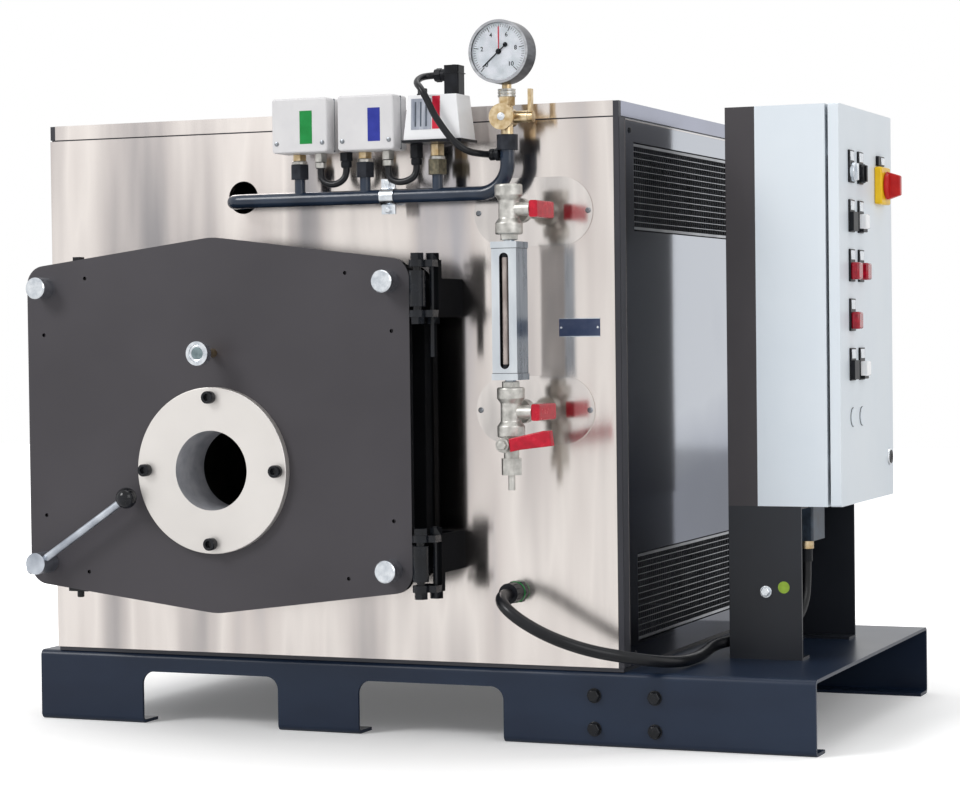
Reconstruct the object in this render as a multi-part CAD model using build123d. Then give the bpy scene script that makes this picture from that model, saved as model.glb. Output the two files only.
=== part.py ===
from build123d import *
import math
import os

# Small packaged steam boiler on a forklift skid, with its burner door, level gauge and control cabinet.
# All lengths are millimetres. While it is drawn, X runs right along the front, Y runs back, Z is up,
# Y is zero at the middle of the casing and Z is zero on the floor. The last step moves everything
# so that the origin is the middle of the whole boiler's footprint box on the floor.

# Skid and side deck, folded from sheet
SKID_HEIGHT = 110.0
SKID_SHEET = 5.0
SKID_LIP = 48.0
SKID_BEND = 9.0
SKID_EDGE = 2.0
SKID_LEFT_OVERHANG = 31.0
DECK_LENGTH = 286.0
POCKET_WIDTH = 237.0
POCKET_HEIGHT = 82.0
POCKET_CORNER = 20.0
POCKET_LEFT_MARGIN = 184.0
POCKET_PITCH = 373.0
SPLICE_WIDTH = 150.0
SPLICE_THICKNESS = 8.0
SPLICE_BOLT_PITCH_X = 93.0
SPLICE_BOLT_PITCH_Z = 49.0
SPLICE_BOLT_LOW = 26.0
M10_HOLE = 11.0

# Casing of polished steel sheet round a welded frame
CASING_DEPTH = 700.0
CASING_GAP = 6.0
CASING_SHEET = 2.0
ROOF_CAP = 22.0
CAP_SHADOW_GAP = 2.0
CORNER_STRIP = 9.0
FRAME_CLEARANCE = 3.5
GRILLE_SIDE_MARGIN = 64.0
GRILLE_TOP_MARGIN = 57.0
GRILLE_SILL = 33.0
GRILLE_HEIGHT = 130.0
GRILLE_SHEET = 1.5
GRILLE_BARS = 13
GRILLE_BAR = 3.0
GRILLE_EDGE = 6.0

# Furnace axis and the pressure vessel behind the door
FURNACE_X = -262.0
BURNER_DROP = 67.0
FURNACE_BORE = 130.0
FURNACE_WALL = 8.0
FURNACE_MARGIN = 57.0
VESSEL_WALL = 8.0
VESSEL_SETBACK = 18.0
VESSEL_BACK_SPACE = 92.0
TURN_CHAMBER = 120.0
TUBE_PLATE = 12.0
FIRE_TUBE_RADIUS = 19.0
FIRE_TUBE_WALL = 3.0
FIRE_TUBES = 12
FIRE_TUBE_MARGIN = 54.0
FIRE_TUBE_SPAN = 216.0
FLUE_RADIUS = 75.0
FLUE_WALL = 3.0
FLUE_REACH = 96.0
FLUE_LIFT = 120.0
SADDLE_THICKNESS = 12.0
SADDLE_WIDTH = 300.0
SADDLE_INSET = 118.0

# Burner door: plate, lining, flange and fittings
DOOR_PROUD = 106.0
DOOR_PLATE = 10.0
DOOR_HALF_WIDTH = 322.5
DOOR_SHOULDER = 242.0
DOOR_RISE = 41.0
DOOR_CORNER = 30.0
DOOR_PEAK = 110.0
DOOR_SILL = 73.0
DOOR_SIDE_MARGIN = 19.5
DOOR_INSET_LINING = 42.0
DOOR_INSET_FRAME = 12.0
FRAME_PROUD = 24.0
SEAL_GAP = 5.0
SMOKE_INSET = 18.0
BURNER_BORE = 60.0
BURNER_FLANGE_RADIUS = 125.0
BURNER_FLANGE = 12.0
BURNER_BOLT_CIRCLE = 220.0
BURNER_BOLT_HOLE = 5.5
BURNER_BOLTS = 4
NUT_IN_X = 31.5
NUT_IN_Z = 31.0
NUT_RADIUS = 16.5
NUT_LENGTH = 30.0
PIN_HOLE = 3.0
PIN_OUTER_IN_X = 28.5
PIN_OUTER_IN_Z = 103.0
PIN_INNER_IN_X = 102.5
PIN_INNER_IN_Z = 17.0
SIGHT_LIFT = 109.0
SIGHT_TUBE = 6.5
SIGHT_HEAD = 18.0
SIGHT_RIM = 5.0
SIGHT_LENGTH = 52.0
SIGHT_HEAD_LENGTH = 13.0
LEVER_TILT = 33.5
LEVER_LENGTH = 185.0
LEVER_ROD = 6.0
LEVER_TAIL = 22.0
LEVER_STANDOFF = 28.0
LEVER_BALL = 16.0

# Door hinges at the door's right edge
HINGE_OUT = 16.0
HINGE_PROUD = 112.0
HINGE_PIN = 6.0
HINGE_PIN_PLAY = 0.25
HINGE_KNUCKLE = 12.0
HINGE_KNUCKLE_HEIGHT = 52.0
HINGE_EAR = 10.0
HINGE_EAR_GAP = 5.5
HINGE_EAR_REACH = 24.0
HINGE_IN_Z = 42.0
HINGE_WEB = 8.0
HINGE_ARM_HEIGHT = 56.0
HINGE_EAR_BACK = 12.0
HINGE_HEAD = 10.0
HINGE_HEAD_WIDTH = 18.0
HINGE_STUD = 5.0
HINGE_STUD_OUT = 15.0
HINGE_STUD_BACK = 22.0
HINGE_TAILS = (12.0, 58.0)

# Instrument manifold across the top of the front
MANIFOLD_PROUD = 45.0
MANIFOLD_LIFT = 55.0
MANIFOLD_TO_TOP = 131.0
PIPE_RADIUS = 10.65
PIPE_BEND = 43.0
PORT_RADIUS = 25.0
PORT_ELBOW = 19.5
FIRST_BRANCH = 119.0
SWITCH_PITCH = 108.0
LIMITER_PITCH = 117.0
RISER_PITCH = 111.0
RISER_RISE = 62.0
RISER_UNION = 15.5
BRANCH_RADIUS = 8.0
BRANCH_RISE = 52.0
UNION_WIDTH = 25.0
UNION_HEIGHT = 22.0
SWITCH_NECK = 15.0
SWITCH_BOX_WIDTH = 91.0
SWITCH_BOX_DEPTH = 46.0
SWITCH_BOX_HEIGHT = 81.0
SWITCH_BOX_CORNER = 5.0
SWITCH_BOX_EDGE = 3.0
SWITCH_BOX_PROUD = 42.0
SWITCH_SHIFT = 20.5
SWITCH_FORWARD = 12.0
LIMITER_NECK = 23.0
LIMITER_OUT = 9.0
LIMITER_WIDTH = 94.0
LIMITER_DEPTH = 62.0
LIMITER_BASE = 4.0
LIMITER_FLARE = 7.0
LIMITER_HEIGHT = 69.0
PLUG_SHIFT = 24.5
PLUG_WIDTH = 23.0
PLUG_DEPTH = 28.0
PLUG_HEIGHT = 43.0
PLUG_NECK = 9.0
PLUG_NECK_DROP = 13.0
PLUG_REACH = 29.5
PLUG_CORNER = 4.0
CLAMP_OUT = 38.0
CLAMP_WIDTH = 22.0
CLAMP_STUD = 5.0
CLAMP_STRAP = 2.0
CLAMP_HALF_HEIGHT = 26.0

# Pressure gauge and its cock
GAUGE_COCK_RISE = 25.0
GAUGE_LIFT = 93.0
GAUGE_RADIUS = 46.0
GAUGE_DEPTH = 34.0
GAUGE_FORWARD = 33.0
GAUGE_RIM = 4.0
GAUGE_STEM = 6.0
GAUGE_NECK = 7.0
GAUGE_NUT = 24.0
GAUGE_NUT_WIDTH = 22.0
COCK_PLUG = 14.0
COCK_DISC = 19.0
COCK_DISC_REACH = 24.0
COCK_DISC_THICKNESS = 4.0
COCK_SIDE_REACH = 34.0
COCK_ARM_WIDTH = 10.0
COCK_ARM_LENGTH = 40.0
COCK_ARM_THICKNESS = 5.0
COCK_HUB_THICKNESS = 7.0
COCK_HUB = 8.0
COCK_SIDE_RADIUS = 9.0

# Level gauge
LEVEL_OUT = 22.0
LEVEL_TO_CORNER = 134.0
LEVEL_PROUD = 98.0
UPPER_COCK_DROP = 27.0
COCK_PITCH = 291.0
COVER_LENGTH = 186.0
COVER_WIDTH = 101.0
COVER_THICKNESS = 2.0
NIPPLE_RADIUS = 10.0
NIPPLE_DEPTH = 12.0
NIPPLE_NUT = 18.0
NIPPLE_NUT_START = 34.0
COCK_HALF_HEIGHT = 36.0
COCK_COLLAR = 20.0
COCK_WAIST = 15.0
COCK_WAIST_HALF = 13.0
COCK_COLLAR_HEIGHT = 16.0
COCK_ROUNDING = 3.0
COCK_NECK = 10.5
COCK_TUBE = 8.0
COCK_SPINDLE = 10.0
COCK_SPINDLE_REACH = 34.0
GAUGE_FRAME_WIDTH = 38.0
GAUGE_FRAME_DEPTH = 44.0
GAUGE_FRAME_CAP = 9.0
SIGHT_SLOT = 14.0
SIGHT_SLOT_END = 16.0
GLASS_THICKNESS = 4.0
LEVER_BAR_WIDTH = 13.0
LEVER_BAR_LENGTH = 66.0
LEVER_BAR_HEIGHT = 24.0
LEVER_BAR_FRONT = 8.0
DRAIN_DROP = 46.0
DRAIN_BODY = 11.0
DRAIN_SPINDLE = 23.0
DRAIN_NUT_WIDTH = 27.0
DRAIN_NUT_DROP = 20.0
DRAIN_NUT_HEIGHT = 24.0
DRAIN_TUBE = 5.0
DRAIN_TUBE_WALL = 1.5
DRAIN_TUBE_LENGTH = 22.0
DRAIN_LEVER_START = 12.0
DRAIN_LEVER_LENGTH = 62.0
DRAIN_LEVER_THICKNESS = 12.0
DRAIN_LEVER_TILT = 8.0

# Control cabinet on its stand
CABINET_SETBACK = 208.0
CABINET_EDGE = 15.0
CABINET_WIDTH = 329.0
CABINET_HEIGHT = 600.0
CABINET_DEPTH = 129.0
CABINET_SHEET = 2.0
CABINET_DOOR = 16.0
CABINET_DOOR_GAP = 5.0
CABINET_RIM = 14.0
CABINET_HINGE_IN = 6.0
CABINET_HINGE_BACK = 9.0
CABINET_HINGE_PIN = 2.5
CABINET_HINGE_EYE = 3.2
CABINET_KNUCKLE = 4.5
CABINET_KNUCKLE_HEIGHT = 12.0
CABINET_HINGE_MARGIN = 70.0
CABINET_ARM = 6.0
POST_DEPTH = 46.0
STAND_WIDTH = 113.0
STAND_DEPTH = 321.0
STAND_SHEET = 4.0
STAND_FOOT = 40.0
PLATE_MARGIN = 30.0
PLATE_STANDOFF = 8.0
PLATE_POST = 6.0
UNIT_TOP_MARGIN = 99.0
UNIT_ROWS = 5
UNIT_ROW_PITCH = 74.5
UNIT_FIRST_COLUMN = 69.0
UNIT_COLUMN_PITCH = 55.0
UNIT_RADIUS = 14.5
UNIT_REACH = 18.0
SINGLE_ROW = 3
SWITCH_PLATE = 58.0
SWITCH_PLATE_IN = 247.0
SWITCH_PLATE_DROP = 112.0
SWITCH_PLATE_THICKNESS = 12.0
SWITCH_PLATE_CORNER = 4.0
SWITCH_KNOB = 21.0
SWITCH_KNOB_THICKNESS = 10.0
SWITCH_GRIP = 16.0
SWITCH_GRIP_LENGTH = 44.0
SWITCH_HANDLE_REACH = 32.0
SWITCH_GRIP_EDGE = 4.0
LOCK_IN = 303.0
LOCK_RISE = 61.0
LOCK_RADIUS = 11.0
LOCK_REACH = 4.0

# Plug under the cabinet, hose and leads
CONNECTOR_IN_X = 29.0
CONNECTOR_IN_Y = 162.0
PLUG_FLANGE_X = 28.0
PLUG_FLANGE_Y = 60.0
PLUG_FLANGE = 10.0
PLUG_HOOD_X = 44.0
PLUG_HOOD_Y = 72.0
PLUG_HOOD = 52.0
PLUG_HOOD_CORNER = 4.0
PLUG_GLAND = 14.0
PLUG_GLAND_RADIUS = 13.0
PLUG_SLEEVE = 20.0
PLUG_SLEEVE_RADIUS = 11.0
HOSE_RADIUS = 9.0
HOSE_GLAND_IN = 32.0
HOSE_GLAND_DROP = 268.0
HOSE_GLAND_RADIUS = 15.0
HOSE_GLAND_REACH = 38.0
HOSE_HOLE_IN = 24.0
HOSE_HOLE_RISE = 26.0
HOSE_HOLE_RADIUS = 16.0
LEAD_RADIUS = 5.0
LEAD_GLAND_RADIUS = 7.0
LEAD_GLAND_LENGTH = 23.0
LEAD_DROP = 25.0
LEAD_OUT = (41.0, 43.0)
LEAD_BACK = (25.0, 28.0)

# Clearances
RUNNING_GAP = 0.3
FRONT_CLEARANCE = 3.0
FLUE_CLEARANCE = 2.0
NIPPLE_CLEARANCE = 10.0

# Places worked out from the sizes above
FRONT_Y = -CASING_DEPTH / 2
BACK_Y = CASING_DEPTH / 2
CASING_LEFT = FURNACE_X - DOOR_HALF_WIDTH - DOOR_SIDE_MARGIN
SWITCH_BRANCHES = (FURNACE_X + FIRST_BRANCH, FURNACE_X + FIRST_BRANCH + SWITCH_PITCH)
LIMITER_X = SWITCH_BRANCHES[-1] + LIMITER_PITCH
RISER_X = LIMITER_X + RISER_PITCH
LEVEL_X = RISER_X + LEVEL_OUT
CASING_RIGHT = LEVEL_X + LEVEL_TO_CORNER
SKID_LEFT = CASING_LEFT - SKID_LEFT_OVERHANG
SPLICE_X = CASING_RIGHT
SKID_RIGHT = SPLICE_X + DECK_LENGTH
SKID_DEPTH = CASING_DEPTH + 2 * SKID_EDGE
CASING_LOW = SKID_HEIGHT + CASING_GAP
DOOR_Z = CASING_LOW + DOOR_SILL + DOOR_RISE + DOOR_SHOULDER
DOOR_TOP = DOOR_Z + DOOR_SHOULDER + DOOR_RISE
BURNER_Z = DOOR_Z - BURNER_DROP
SIGHT_Z = DOOR_Z + SIGHT_LIFT
MANIFOLD_Z = DOOR_TOP + MANIFOLD_LIFT
CASING_TOP = MANIFOLD_Z + MANIFOLD_TO_TOP
CAP_LOW = CASING_TOP - ROOF_CAP
SHEET_TOP = CAP_LOW - CAP_SHADOW_GAP
FRAME_TUBE = DOOR_SIDE_MARGIN + DOOR_INSET_FRAME - CASING_SHEET - FRAME_CLEARANCE
GRILLE_WIDTH = CASING_DEPTH - 2 * GRILLE_SIDE_MARGIN
GRILLE_LOWS = (CASING_LOW + GRILLE_SILL, CASING_TOP - GRILLE_TOP_MARGIN - GRILLE_HEIGHT)
DOOR_FACE_Y = FRONT_Y - DOOR_PROUD
DOOR_BACK_Y = DOOR_FACE_Y + DOOR_PLATE
FRAME_FACE_Y = FRONT_Y - FRAME_PROUD
LINING_BACK_Y = FRAME_FACE_Y - SEAL_GAP
VESSEL_RADIUS = BURNER_DROP + FURNACE_BORE + FURNACE_WALL + FURNACE_MARGIN
VESSEL_FRONT_Y = FRONT_Y + VESSEL_SETBACK
VESSEL_BACK_Y = BACK_Y - VESSEL_BACK_SPACE
FURNACE_BACK_Y = VESSEL_BACK_Y - TURN_CHAMBER
FIRE_TUBE_CIRCLE = VESSEL_RADIUS - VESSEL_WALL - FIRE_TUBE_MARGIN
NUT_OFFSET_X = DOOR_HALF_WIDTH - NUT_IN_X
NUT_OFFSET_Z = DOOR_SHOULDER - NUT_IN_Z
HINGE_X = FURNACE_X + DOOR_HALF_WIDTH + HINGE_OUT
HINGE_Y = FRONT_Y - HINGE_PROUD
HINGE_HEIGHTS = (DOOR_Z - DOOR_SHOULDER + HINGE_IN_Z, DOOR_Z + DOOR_SHOULDER - HINGE_IN_Z)
MANIFOLD_Y = FRONT_Y - MANIFOLD_PROUD
BRANCH_TOP = MANIFOLD_Z + BRANCH_RISE
SWITCH_Z = BRANCH_TOP + SWITCH_NECK
SWITCH_Y = MANIFOLD_Y - SWITCH_FORWARD
SWITCH_FRONT_Y = MANIFOLD_Y - SWITCH_BOX_PROUD
LIMITER_Z = BRANCH_TOP + LIMITER_NECK
LIMITER_TOP = LIMITER_Z + LIMITER_HEIGHT
LIMITER_MIDDLE = LIMITER_X + LIMITER_OUT
PLUG_MIDDLE = LIMITER_MIDDLE + PLUG_SHIFT
PLUG_NECK_Z = LIMITER_TOP + PLUG_HEIGHT - PLUG_NECK_DROP
RISER_TOP = MANIFOLD_Z + RISER_RISE
GAUGE_COCK_Z = RISER_TOP + UNION_HEIGHT + GAUGE_COCK_RISE
GAUGE_Z = GAUGE_COCK_Z + GAUGE_LIFT
GAUGE_LOW = GAUGE_Z - GAUGE_RADIUS - GAUGE_STEM
LEVEL_Y = FRONT_Y - LEVEL_PROUD
UPPER_COCK_Z = MANIFOLD_Z - UPPER_COCK_DROP
LOWER_COCK_Z = UPPER_COCK_Z - COCK_PITCH
GAUGE_FRAME_LOW = LOWER_COCK_Z + COCK_HALF_HEIGHT + COCK_NECK
GAUGE_FRAME_HIGH = UPPER_COCK_Z - COCK_HALF_HEIGHT - COCK_NECK
DRAIN_Z = LOWER_COCK_Z - DRAIN_DROP
CABINET_FRONT_X = SKID_RIGHT - CABINET_EDGE
CABINET_BACK_X = CABINET_FRONT_X - CABINET_DEPTH
CABINET_RIM_X = CABINET_FRONT_X - CABINET_DOOR - CABINET_DOOR_GAP
CABINET_NEAR_Y = FRONT_Y + CABINET_SETBACK
CABINET_FAR_Y = CABINET_NEAR_Y + CABINET_WIDTH
CABINET_LOW = CASING_TOP - CABINET_HEIGHT
CABINET_HINGE_X = CABINET_FRONT_X - CABINET_HINGE_BACK
CABINET_HINGE_Y = CABINET_NEAR_Y + CABINET_HINGE_IN
CABINET_HINGE_HEIGHTS = (CABINET_LOW + CABINET_HINGE_MARGIN, CASING_TOP - CABINET_HINGE_MARGIN)
STAND_LEFT_X = CABINET_BACK_X - POST_DEPTH
STAND_RIGHT_X = STAND_LEFT_X + STAND_WIDTH
STAND_FAR_Y = CABINET_NEAR_Y + STAND_DEPTH
UNIT_COLUMNS = (CABINET_NEAR_Y + UNIT_FIRST_COLUMN, CABINET_NEAR_Y + UNIT_FIRST_COLUMN + UNIT_COLUMN_PITCH)
SWITCH_PLATE_Y = CABINET_NEAR_Y + SWITCH_PLATE_IN
SWITCH_PLATE_Z = CASING_TOP - SWITCH_PLATE_DROP
CONNECTOR_X = CABINET_BACK_X + CONNECTOR_IN_X
CONNECTOR_Y = CABINET_NEAR_Y + CONNECTOR_IN_Y
HOSE_TOP = CABINET_LOW - PLUG_FLANGE - PLUG_HOOD - PLUG_GLAND - PLUG_SLEEVE
HOSE_GLAND_X = LEVEL_X - HOSE_GLAND_IN
HOSE_GLAND_Y = FRONT_Y - HOSE_GLAND_REACH
HOSE_GLAND_Z = LOWER_COCK_Z - HOSE_GLAND_DROP
HOSE_HOLE_Y = CABINET_NEAR_Y + HOSE_HOLE_IN
HOSE_HOLE_Z = SKID_HEIGHT + HOSE_HOLE_RISE
LEAD_TOP = SWITCH_Z - LEAD_GLAND_LENGTH


def block(x0, x1, y0, y1, z0, z1):
    """A block between two opposite corners."""
    return Pos((x0 + x1) / 2, (y0 + y1) / 2, (z0 + z1) / 2) * Box(x1 - x0, y1 - y0, z1 - z0)


def rod_x(y, z, x0, x1, radius):
    """A round bar along X."""
    return Pos((x0 + x1) / 2, y, z) * Rot(0, 90, 0) * Cylinder(radius, x1 - x0)


def rod_y(x, z, y0, y1, radius):
    """A round bar along Y."""
    return Pos(x, (y0 + y1) / 2, z) * Rot(90, 0, 0) * Cylinder(radius, y1 - y0)


def rod_z(x, y, z0, z1, radius):
    """A round bar along Z."""
    return Pos(x, y, (z0 + z1) / 2) * Cylinder(radius, z1 - z0)


def hex_z(x, y, z0, z1, across):
    """A hexagonal nut with its axis along Z, given across its flats."""
    outline = RegularPolygon(across / 2, 6, major_radius=False)
    return Pos(x, y, z0) * extrude(outline, z1 - z0)


def front_plane(x, y, z):
    """A drawing plane whose sheet faces the front: its first axis is X and its second is Z."""
    return Plane(origin=(x, y, z), x_dir=(1, 0, 0), z_dir=(0, -1, 0))


def side_plane(x, y, z):
    """A drawing plane that faces right: its first axis is Y and its second is Z."""
    return Plane(origin=(x, y, z), x_dir=(0, 1, 0), z_dir=(1, 0, 0))


# Skid


def folded_tray(x0, x1):
    """A sheet folded down at front and back with lips turned in, seen from its end."""
    outside = Rectangle(SKID_DEPTH, SKID_HEIGHT)
    inside = Rectangle(SKID_DEPTH - 2 * SKID_SHEET, SKID_HEIGHT - 2 * SKID_SHEET)
    mouth = Pos(0, SKID_SHEET - SKID_HEIGHT / 2) * Rectangle(SKID_DEPTH - 2 * SKID_LIP, 2 * SKID_SHEET)
    outline = outside - inside - mouth
    bends = [v for v in outline.vertices() if abs(v.X) > SKID_DEPTH / 2 - SKID_SHEET / 2]
    outline = fillet(bends, SKID_BEND)
    folds = [v for v in outline.vertices() if abs(abs(v.X) - (SKID_DEPTH / 2 - SKID_SHEET)) < SKID_SHEET / 4]
    folds = [v for v in folds if abs(abs(v.Y) - (SKID_HEIGHT / 2 - SKID_SHEET)) < SKID_SHEET / 4]
    outline = fillet(folds, SKID_BEND - SKID_SHEET)
    return extrude(side_plane(x0, 0, SKID_HEIGHT / 2) * outline, x1 - x0)


def fork_pocket(x0):
    """The cutter of one fork pocket, open at the floor, through the front and back flanges."""
    wide = POCKET_WIDTH
    tall = 2 * POCKET_HEIGHT
    outline = RectangleRounded(wide, tall, POCKET_CORNER)
    cutter = extrude(front_plane(x0 + wide / 2, SKID_DEPTH, 0) * outline, 2 * SKID_DEPTH)
    return cutter


def splice_bolt_places():
    """The places of the four bolts at the joint of the two trays."""
    for x in (SPLICE_X - SPLICE_BOLT_PITCH_X / 2, SPLICE_X + SPLICE_BOLT_PITCH_X / 2):
        for z in (SPLICE_BOLT_LOW, SPLICE_BOLT_LOW + SPLICE_BOLT_PITCH_Z):
            yield x, z


def splice_holes():
    """The bolt holes through both flanges at the joint."""
    holes = [rod_y(x, z, -SKID_DEPTH, SKID_DEPTH, M10_HOLE / 2) for x, z in splice_bolt_places()]
    return holes


def skid_main():
    """The main tray under the boiler, with two fork pockets."""
    tray = folded_tray(SKID_LEFT, SPLICE_X)
    for number in range(2):
        tray -= fork_pocket(SKID_LEFT + POCKET_LEFT_MARGIN + number * POCKET_PITCH)
    return tray - splice_holes()


def skid_deck():
    """The short tray that carries the cabinet."""
    return folded_tray(SPLICE_X, SKID_RIGHT) - splice_holes()


def splice_plates():
    """The joint plates inside the front and back flanges."""
    plates = []
    low = SKID_SHEET + SKID_BEND - SKID_SHEET
    high = SKID_HEIGHT - SKID_SHEET - (SKID_BEND - SKID_SHEET)
    for side in (-1, 1):
        outer = side * (SKID_DEPTH / 2 - SKID_SHEET)
        inner = outer - side * SPLICE_THICKNESS
        plate = block(SPLICE_X - SPLICE_WIDTH / 2, SPLICE_X + SPLICE_WIDTH / 2,
                      min(outer, inner), max(outer, inner), low, high)
        plates.append(plate - splice_holes())
    return plates


# Casing


def casing_frame():
    """The welded frame: base ring, four posts with their corner strips, and top ring."""
    left = CASING_LEFT + CASING_SHEET
    right = CASING_RIGHT - CASING_SHEET
    front = FRONT_Y + CASING_SHEET
    back = BACK_Y - CASING_SHEET
    top = CASING_TOP - CASING_SHEET
    tube = FRAME_TUBE
    base = block(left, right, front, back, SKID_HEIGHT, SKID_HEIGHT + tube)
    base -= block(left + tube, right - tube, front + tube, back - tube, 0, CASING_TOP)
    head = block(left, right, front, back, CAP_LOW - tube / 2, top)
    head -= block(left + tube, right - tube, front + tube, back - tube, 0, CASING_TOP)
    frame = base + head
    for x0 in (left, right - tube):
        for y0 in (front, back - tube):
            frame += block(x0, x0 + tube, y0, y0 + tube, SKID_HEIGHT, top)
    strip = CORNER_STRIP - RUNNING_GAP
    for x0, low in ((CASING_LEFT + RUNNING_GAP, CAP_LOW), (CASING_RIGHT - strip, CASING_LOW)):
        for y0 in (FRONT_Y + RUNNING_GAP, BACK_Y - strip):
            frame += block(x0, x0 + strip - RUNNING_GAP, y0, y0 + strip - RUNNING_GAP, low, CASING_TOP - RUNNING_GAP)
    return frame


def door_outline(inset):
    """The door's six-sided outline with arched top and bottom, set in all round."""
    wide = DOOR_HALF_WIDTH - inset
    shoulder = DOOR_SHOULDER - inset
    peak = DOOR_SHOULDER + DOOR_RISE - inset
    points = [(-wide, -shoulder), (0, -peak), (wide, -shoulder), (wide, shoulder), (0, peak), (-wide, shoulder)]
    outline = make_face(Polyline(*points, close=True))
    corners = [v for v in outline.vertices() if abs(v.X) > wide / 2]
    outline = fillet(corners, DOOR_CORNER)
    peaks = [v for v in outline.vertices() if abs(v.X) < wide / 4]
    return fillet(peaks, DOOR_PEAK)


def door_slab(inset, y_front, y_back):
    """A slab of the door's outline between two depths."""
    plane = front_plane(FURNACE_X, y_back, DOOR_Z)
    return extrude(plane * door_outline(inset), y_back - y_front)


def front_panel():
    """The polished front sheet with its door cut-out and pipe holes."""
    sheet = block(CASING_LEFT, CASING_RIGHT - CORNER_STRIP, FRONT_Y, FRONT_Y + CASING_SHEET, CASING_LOW, SHEET_TOP)
    sheet -= door_slab(DOOR_INSET_FRAME - FRONT_CLEARANCE, FRONT_Y - DOOR_PLATE, FRONT_Y + DOOR_PLATE)
    sheet -= rod_y(FURNACE_X, MANIFOLD_Z + PORT_RADIUS / 3, FRONT_Y - 1, FRONT_Y + FRAME_TUBE, PORT_RADIUS)
    for z in (UPPER_COCK_Z, LOWER_COCK_Z):
        sheet -= rod_y(LEVEL_X, z, FRONT_Y - 1, FRONT_Y + FRAME_TUBE, NIPPLE_RADIUS + NIPPLE_CLEARANCE)
    sheet -= rod_y(HOSE_GLAND_X, HOSE_GLAND_Z, FRONT_Y - 1, FRONT_Y + FRAME_TUBE, HOSE_RADIUS + 1)
    return sheet


def side_sheet(x0, x1):
    """One plain side sheet."""
    return block(x0, x1, FRONT_Y + CORNER_STRIP, BACK_Y - CORNER_STRIP, CASING_LOW, SHEET_TOP)


def left_panel():
    """The left side sheet, between the front and rear sheets."""
    return block(CASING_LEFT, CASING_LEFT + CASING_SHEET, FRONT_Y + CASING_SHEET, BACK_Y - CASING_SHEET,
                 CASING_LOW, SHEET_TOP)


def right_panel():
    """The right side sheet, with windows for its two grilles."""
    sheet = side_sheet(CASING_RIGHT - CASING_SHEET, CASING_RIGHT)
    for low in GRILLE_LOWS:
        sheet -= block(CASING_RIGHT - FRAME_TUBE, CASING_RIGHT + 1,
                       -GRILLE_WIDTH / 2, GRILLE_WIDTH / 2, low, low + GRILLE_HEIGHT)
    return sheet


def side_grilles():
    """The two grilles, each a rim with bars along it, set in the right side's windows."""
    grilles = []
    pitch = (GRILLE_HEIGHT - 2 * GRILLE_EDGE + GRILLE_BAR) / (GRILLE_BARS - 1)
    for low in GRILLE_LOWS:
        grille = block(CASING_RIGHT - CASING_SHEET, CASING_RIGHT - CASING_SHEET + GRILLE_SHEET,
                       -GRILLE_WIDTH / 2, GRILLE_WIDTH / 2, low, low + GRILLE_HEIGHT)
        for number in range(GRILLE_BARS - 1):
            slot_low = low + GRILLE_EDGE + number * pitch
            grille -= block(CASING_RIGHT - FRAME_TUBE, CASING_RIGHT + 1,
                            -GRILLE_WIDTH / 2 + GRILLE_EDGE, GRILLE_WIDTH / 2 - GRILLE_EDGE,
                            slot_low, slot_low + pitch - GRILLE_BAR)
        grilles.append(grille)
    return grilles


def rear_panel():
    """The rear sheet with the flue's hole."""
    sheet = block(CASING_LEFT, CASING_RIGHT - CORNER_STRIP, BACK_Y - CASING_SHEET, BACK_Y, CASING_LOW, SHEET_TOP)
    return sheet - rod_y(FURNACE_X, DOOR_Z + FLUE_LIFT, BACK_Y - FRAME_TUBE, BACK_Y + 1, FLUE_RADIUS + FLUE_CLEARANCE)


def roof_cap():
    """The roof tray whose turned-down rim closes on the four sides."""
    cap = block(CASING_LEFT, CASING_RIGHT, FRONT_Y, BACK_Y, CAP_LOW, CASING_TOP)
    hollow = block(CASING_LEFT + CASING_SHEET, CASING_RIGHT - CASING_SHEET, FRONT_Y + CASING_SHEET,
                   BACK_Y - CASING_SHEET, CAP_LOW - 1, CASING_TOP - CASING_SHEET)
    cap -= hollow
    for x0 in (CASING_LEFT, CASING_RIGHT - CORNER_STRIP):
        for y0 in (FRONT_Y, BACK_Y - CORNER_STRIP):
            cap -= block(x0, x0 + CORNER_STRIP, y0, y0 + CORNER_STRIP, CAP_LOW, CASING_TOP)
    return cap


# Pressure vessel


def vessel_shell():
    """The round shell with its closed back."""
    shell = rod_y(FURNACE_X, DOOR_Z, VESSEL_FRONT_Y, VESSEL_BACK_Y, VESSEL_RADIUS)
    shell -= rod_y(FURNACE_X, DOOR_Z, VESSEL_FRONT_Y - 1, VESSEL_BACK_Y - VESSEL_WALL, VESSEL_RADIUS - VESSEL_WALL)
    return shell - rod_y(FURNACE_X, DOOR_Z + FLUE_LIFT, VESSEL_FRONT_Y, VESSEL_BACK_Y + 1, FLUE_RADIUS)


def fire_tube_places():
    """The fire tubes' places, on an arc over the furnace."""
    step = FIRE_TUBE_SPAN / (FIRE_TUBES - 1)
    for number in range(FIRE_TUBES):
        angle = math.radians(90 - FIRE_TUBE_SPAN / 2 + number * step)
        yield FURNACE_X + FIRE_TUBE_CIRCLE * math.cos(angle), DOOR_Z + FIRE_TUBE_CIRCLE * math.sin(angle)


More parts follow.
